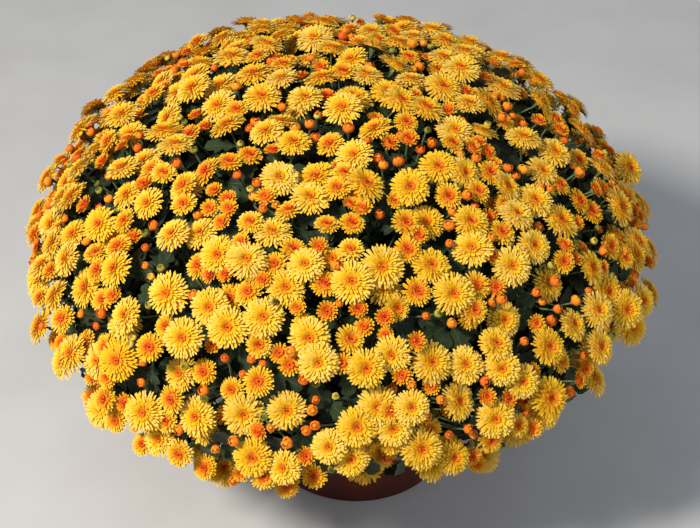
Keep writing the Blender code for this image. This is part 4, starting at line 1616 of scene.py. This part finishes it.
def soil_height(x, y):
    """The soil's crumbly top, highest in the middle."""
    out = math.hypot(x, y) / SOIL_REACH
    grain = sum(share * noise.noise(Vector((x, y, level)) * scale) for scale, share, level in SOIL_NOISES)
    return SOIL_TOP + SOIL_MOUND * (1 - out * out) + SOIL_GRAIN * grain


def make_soil(surface, draw):
    """The soil's surface down to the pot's wall, as one closed body, with loose chips lying on it."""
    points = []
    angles = [math.tau * k / SOIL_SPOKES for k in range(SOIL_SPOKES)]
    for radius in SOIL_REACH * np.linspace(SOIL_START, 1, SOIL_RINGS):
        spots = [(radius * math.cos(angle), radius * math.sin(angle)) for angle in angles]
        points += [(x, y, soil_height(x, y)) for x, y in spots]
    for height, inset in SOIL_FOOT:
        radius = wall_radius(height) - POT_WALL - inset
        points += [(radius * math.cos(angle), radius * math.sin(angle), height) for angle in angles]
    points = np.array(points + [(0, 0, soil_height(0, 0)), (0, 0, SOIL_FOOT[-1][0])])
    faces = shell_faces(SOIL_RINGS + len(SOIL_FOOT), SOIL_SPOKES)
    pile = Pile()
    pile.add(points, faces, value_rows(len(points), 0, 0, 0, SOIL_TINT))
    for _ in range(CHIP_COUNT):
        add_chip(pile, draw)
    pile.piece("soil_surface", surface, "potting_soil", "soil")


def add_chip(pile, draw):
    """A lumpy crumb of bark or peat that lies in the soil's top."""
    size = draw.uniform(*CHIP_SIZE)
    out = (SOIL_REACH - size) * math.sqrt(draw.uniform(0, 1))
    spin = draw.uniform(0, math.tau)
    x, y = out * math.cos(spin), out * math.sin(spin)
    place = np.array((x, y, soil_height(x, y) + size * CHIP_RISE))
    axis = unit(draw.normal(0, 1, 3))
    points = turned_rings(np.zeros(3), axis, CHIP_SHAPE, CHIP_SIDES)
    points = np.vstack([points, CHIP_ENDS[0] * axis, CHIP_ENDS[1] * axis])
    scale = np.array((1, draw.uniform(*CHIP_WIDTH), draw.uniform(*CHIP_HEIGHT)))
    points = place + points * scale * size * draw.uniform(*CHIP_LUMPS, (len(points), 1))
    rows = len(CHIP_SHAPE)
    low, high = cap_faces(0, CHIP_SIDES, rows * CHIP_SIDES)[:, (1, 0, 2)], rows * CHIP_SIDES + 1
    top = cap_faces((rows - 1) * CHIP_SIDES, CHIP_SIDES, high)
    faces = np.vstack([tube_faces(rows, CHIP_SIDES), low, top])
    pile.add(points, faces, value_rows(len(points), 0, 0, 0, draw.uniform(0, 1)))


def make_camera():
    camera = add_object("camera", bpy.data.cameras.new("camera"))
    camera.data.lens, camera.data.sensor_width, camera.data.clip_end = LENS, SENSOR_WIDTH, CLIP_END
    back = Vector((0, -math.cos(VIEW_ELEVATION), math.sin(VIEW_ELEVATION)))
    camera.location = Vector(VIEW_AIM) + back * VIEW_DISTANCE
    camera.rotation_euler = (-back).to_track_quat("-Z", "Y").to_euler()
    bpy.context.scene.camera = camera


def make_light(name, way, distance, size, power, colour):
    light = bpy.data.lights.new(name, "AREA")
    light.shape, light.size = "DISK", size
    light.energy, light.color = power, colour
    made = add_object(name, light)
    made.location = Vector(VIEW_AIM) + Vector(way).normalized() * distance
    made.rotation_euler = Vector(way).to_track_quat("Z", "Y").to_euler()


def make_studio():
    """A plain pale floor, a soft key light from the front left, a weak cool fill and a pale sky."""
    look = Look("studio_floor")
    look.bumps(look.noise(scale=60, detail=4), strength=0.05, height=0.002)
    look.finish(look.ramp(look.noise(scale=6, detail=3), FLOOR_STOPS), Roughness=0.9)
    mesh = bpy.data.meshes.new("floor")
    corners = [(x * FLOOR_REACH, y * FLOOR_REACH, 0) for x, y in ((-1, -1), (1, -1), (1, 1), (-1, 1))]
    mesh.from_pydata(corners, [], [range(len(corners))])
    mesh.materials.append(look.surface)
    floor = add_object("floor", mesh)
    for light in LIGHTS:
        make_light(*light)
    world = bpy.data.worlds.new("studio")
    world.use_nodes = True
    background = world.node_tree.nodes["Background"].inputs
    background["Color"].default_value, background["Strength"].default_value = WORLD_COLOUR, WORLD_STRENGTH
    bpy.context.scene.world = world
    bpy.context.scene.view_settings.view_transform = "Standard"


make_camera()
make_studio()
make_plant()
make_pot(plastic_look())
make_soil(soil_look(), np.random.default_rng(SEED + 1))
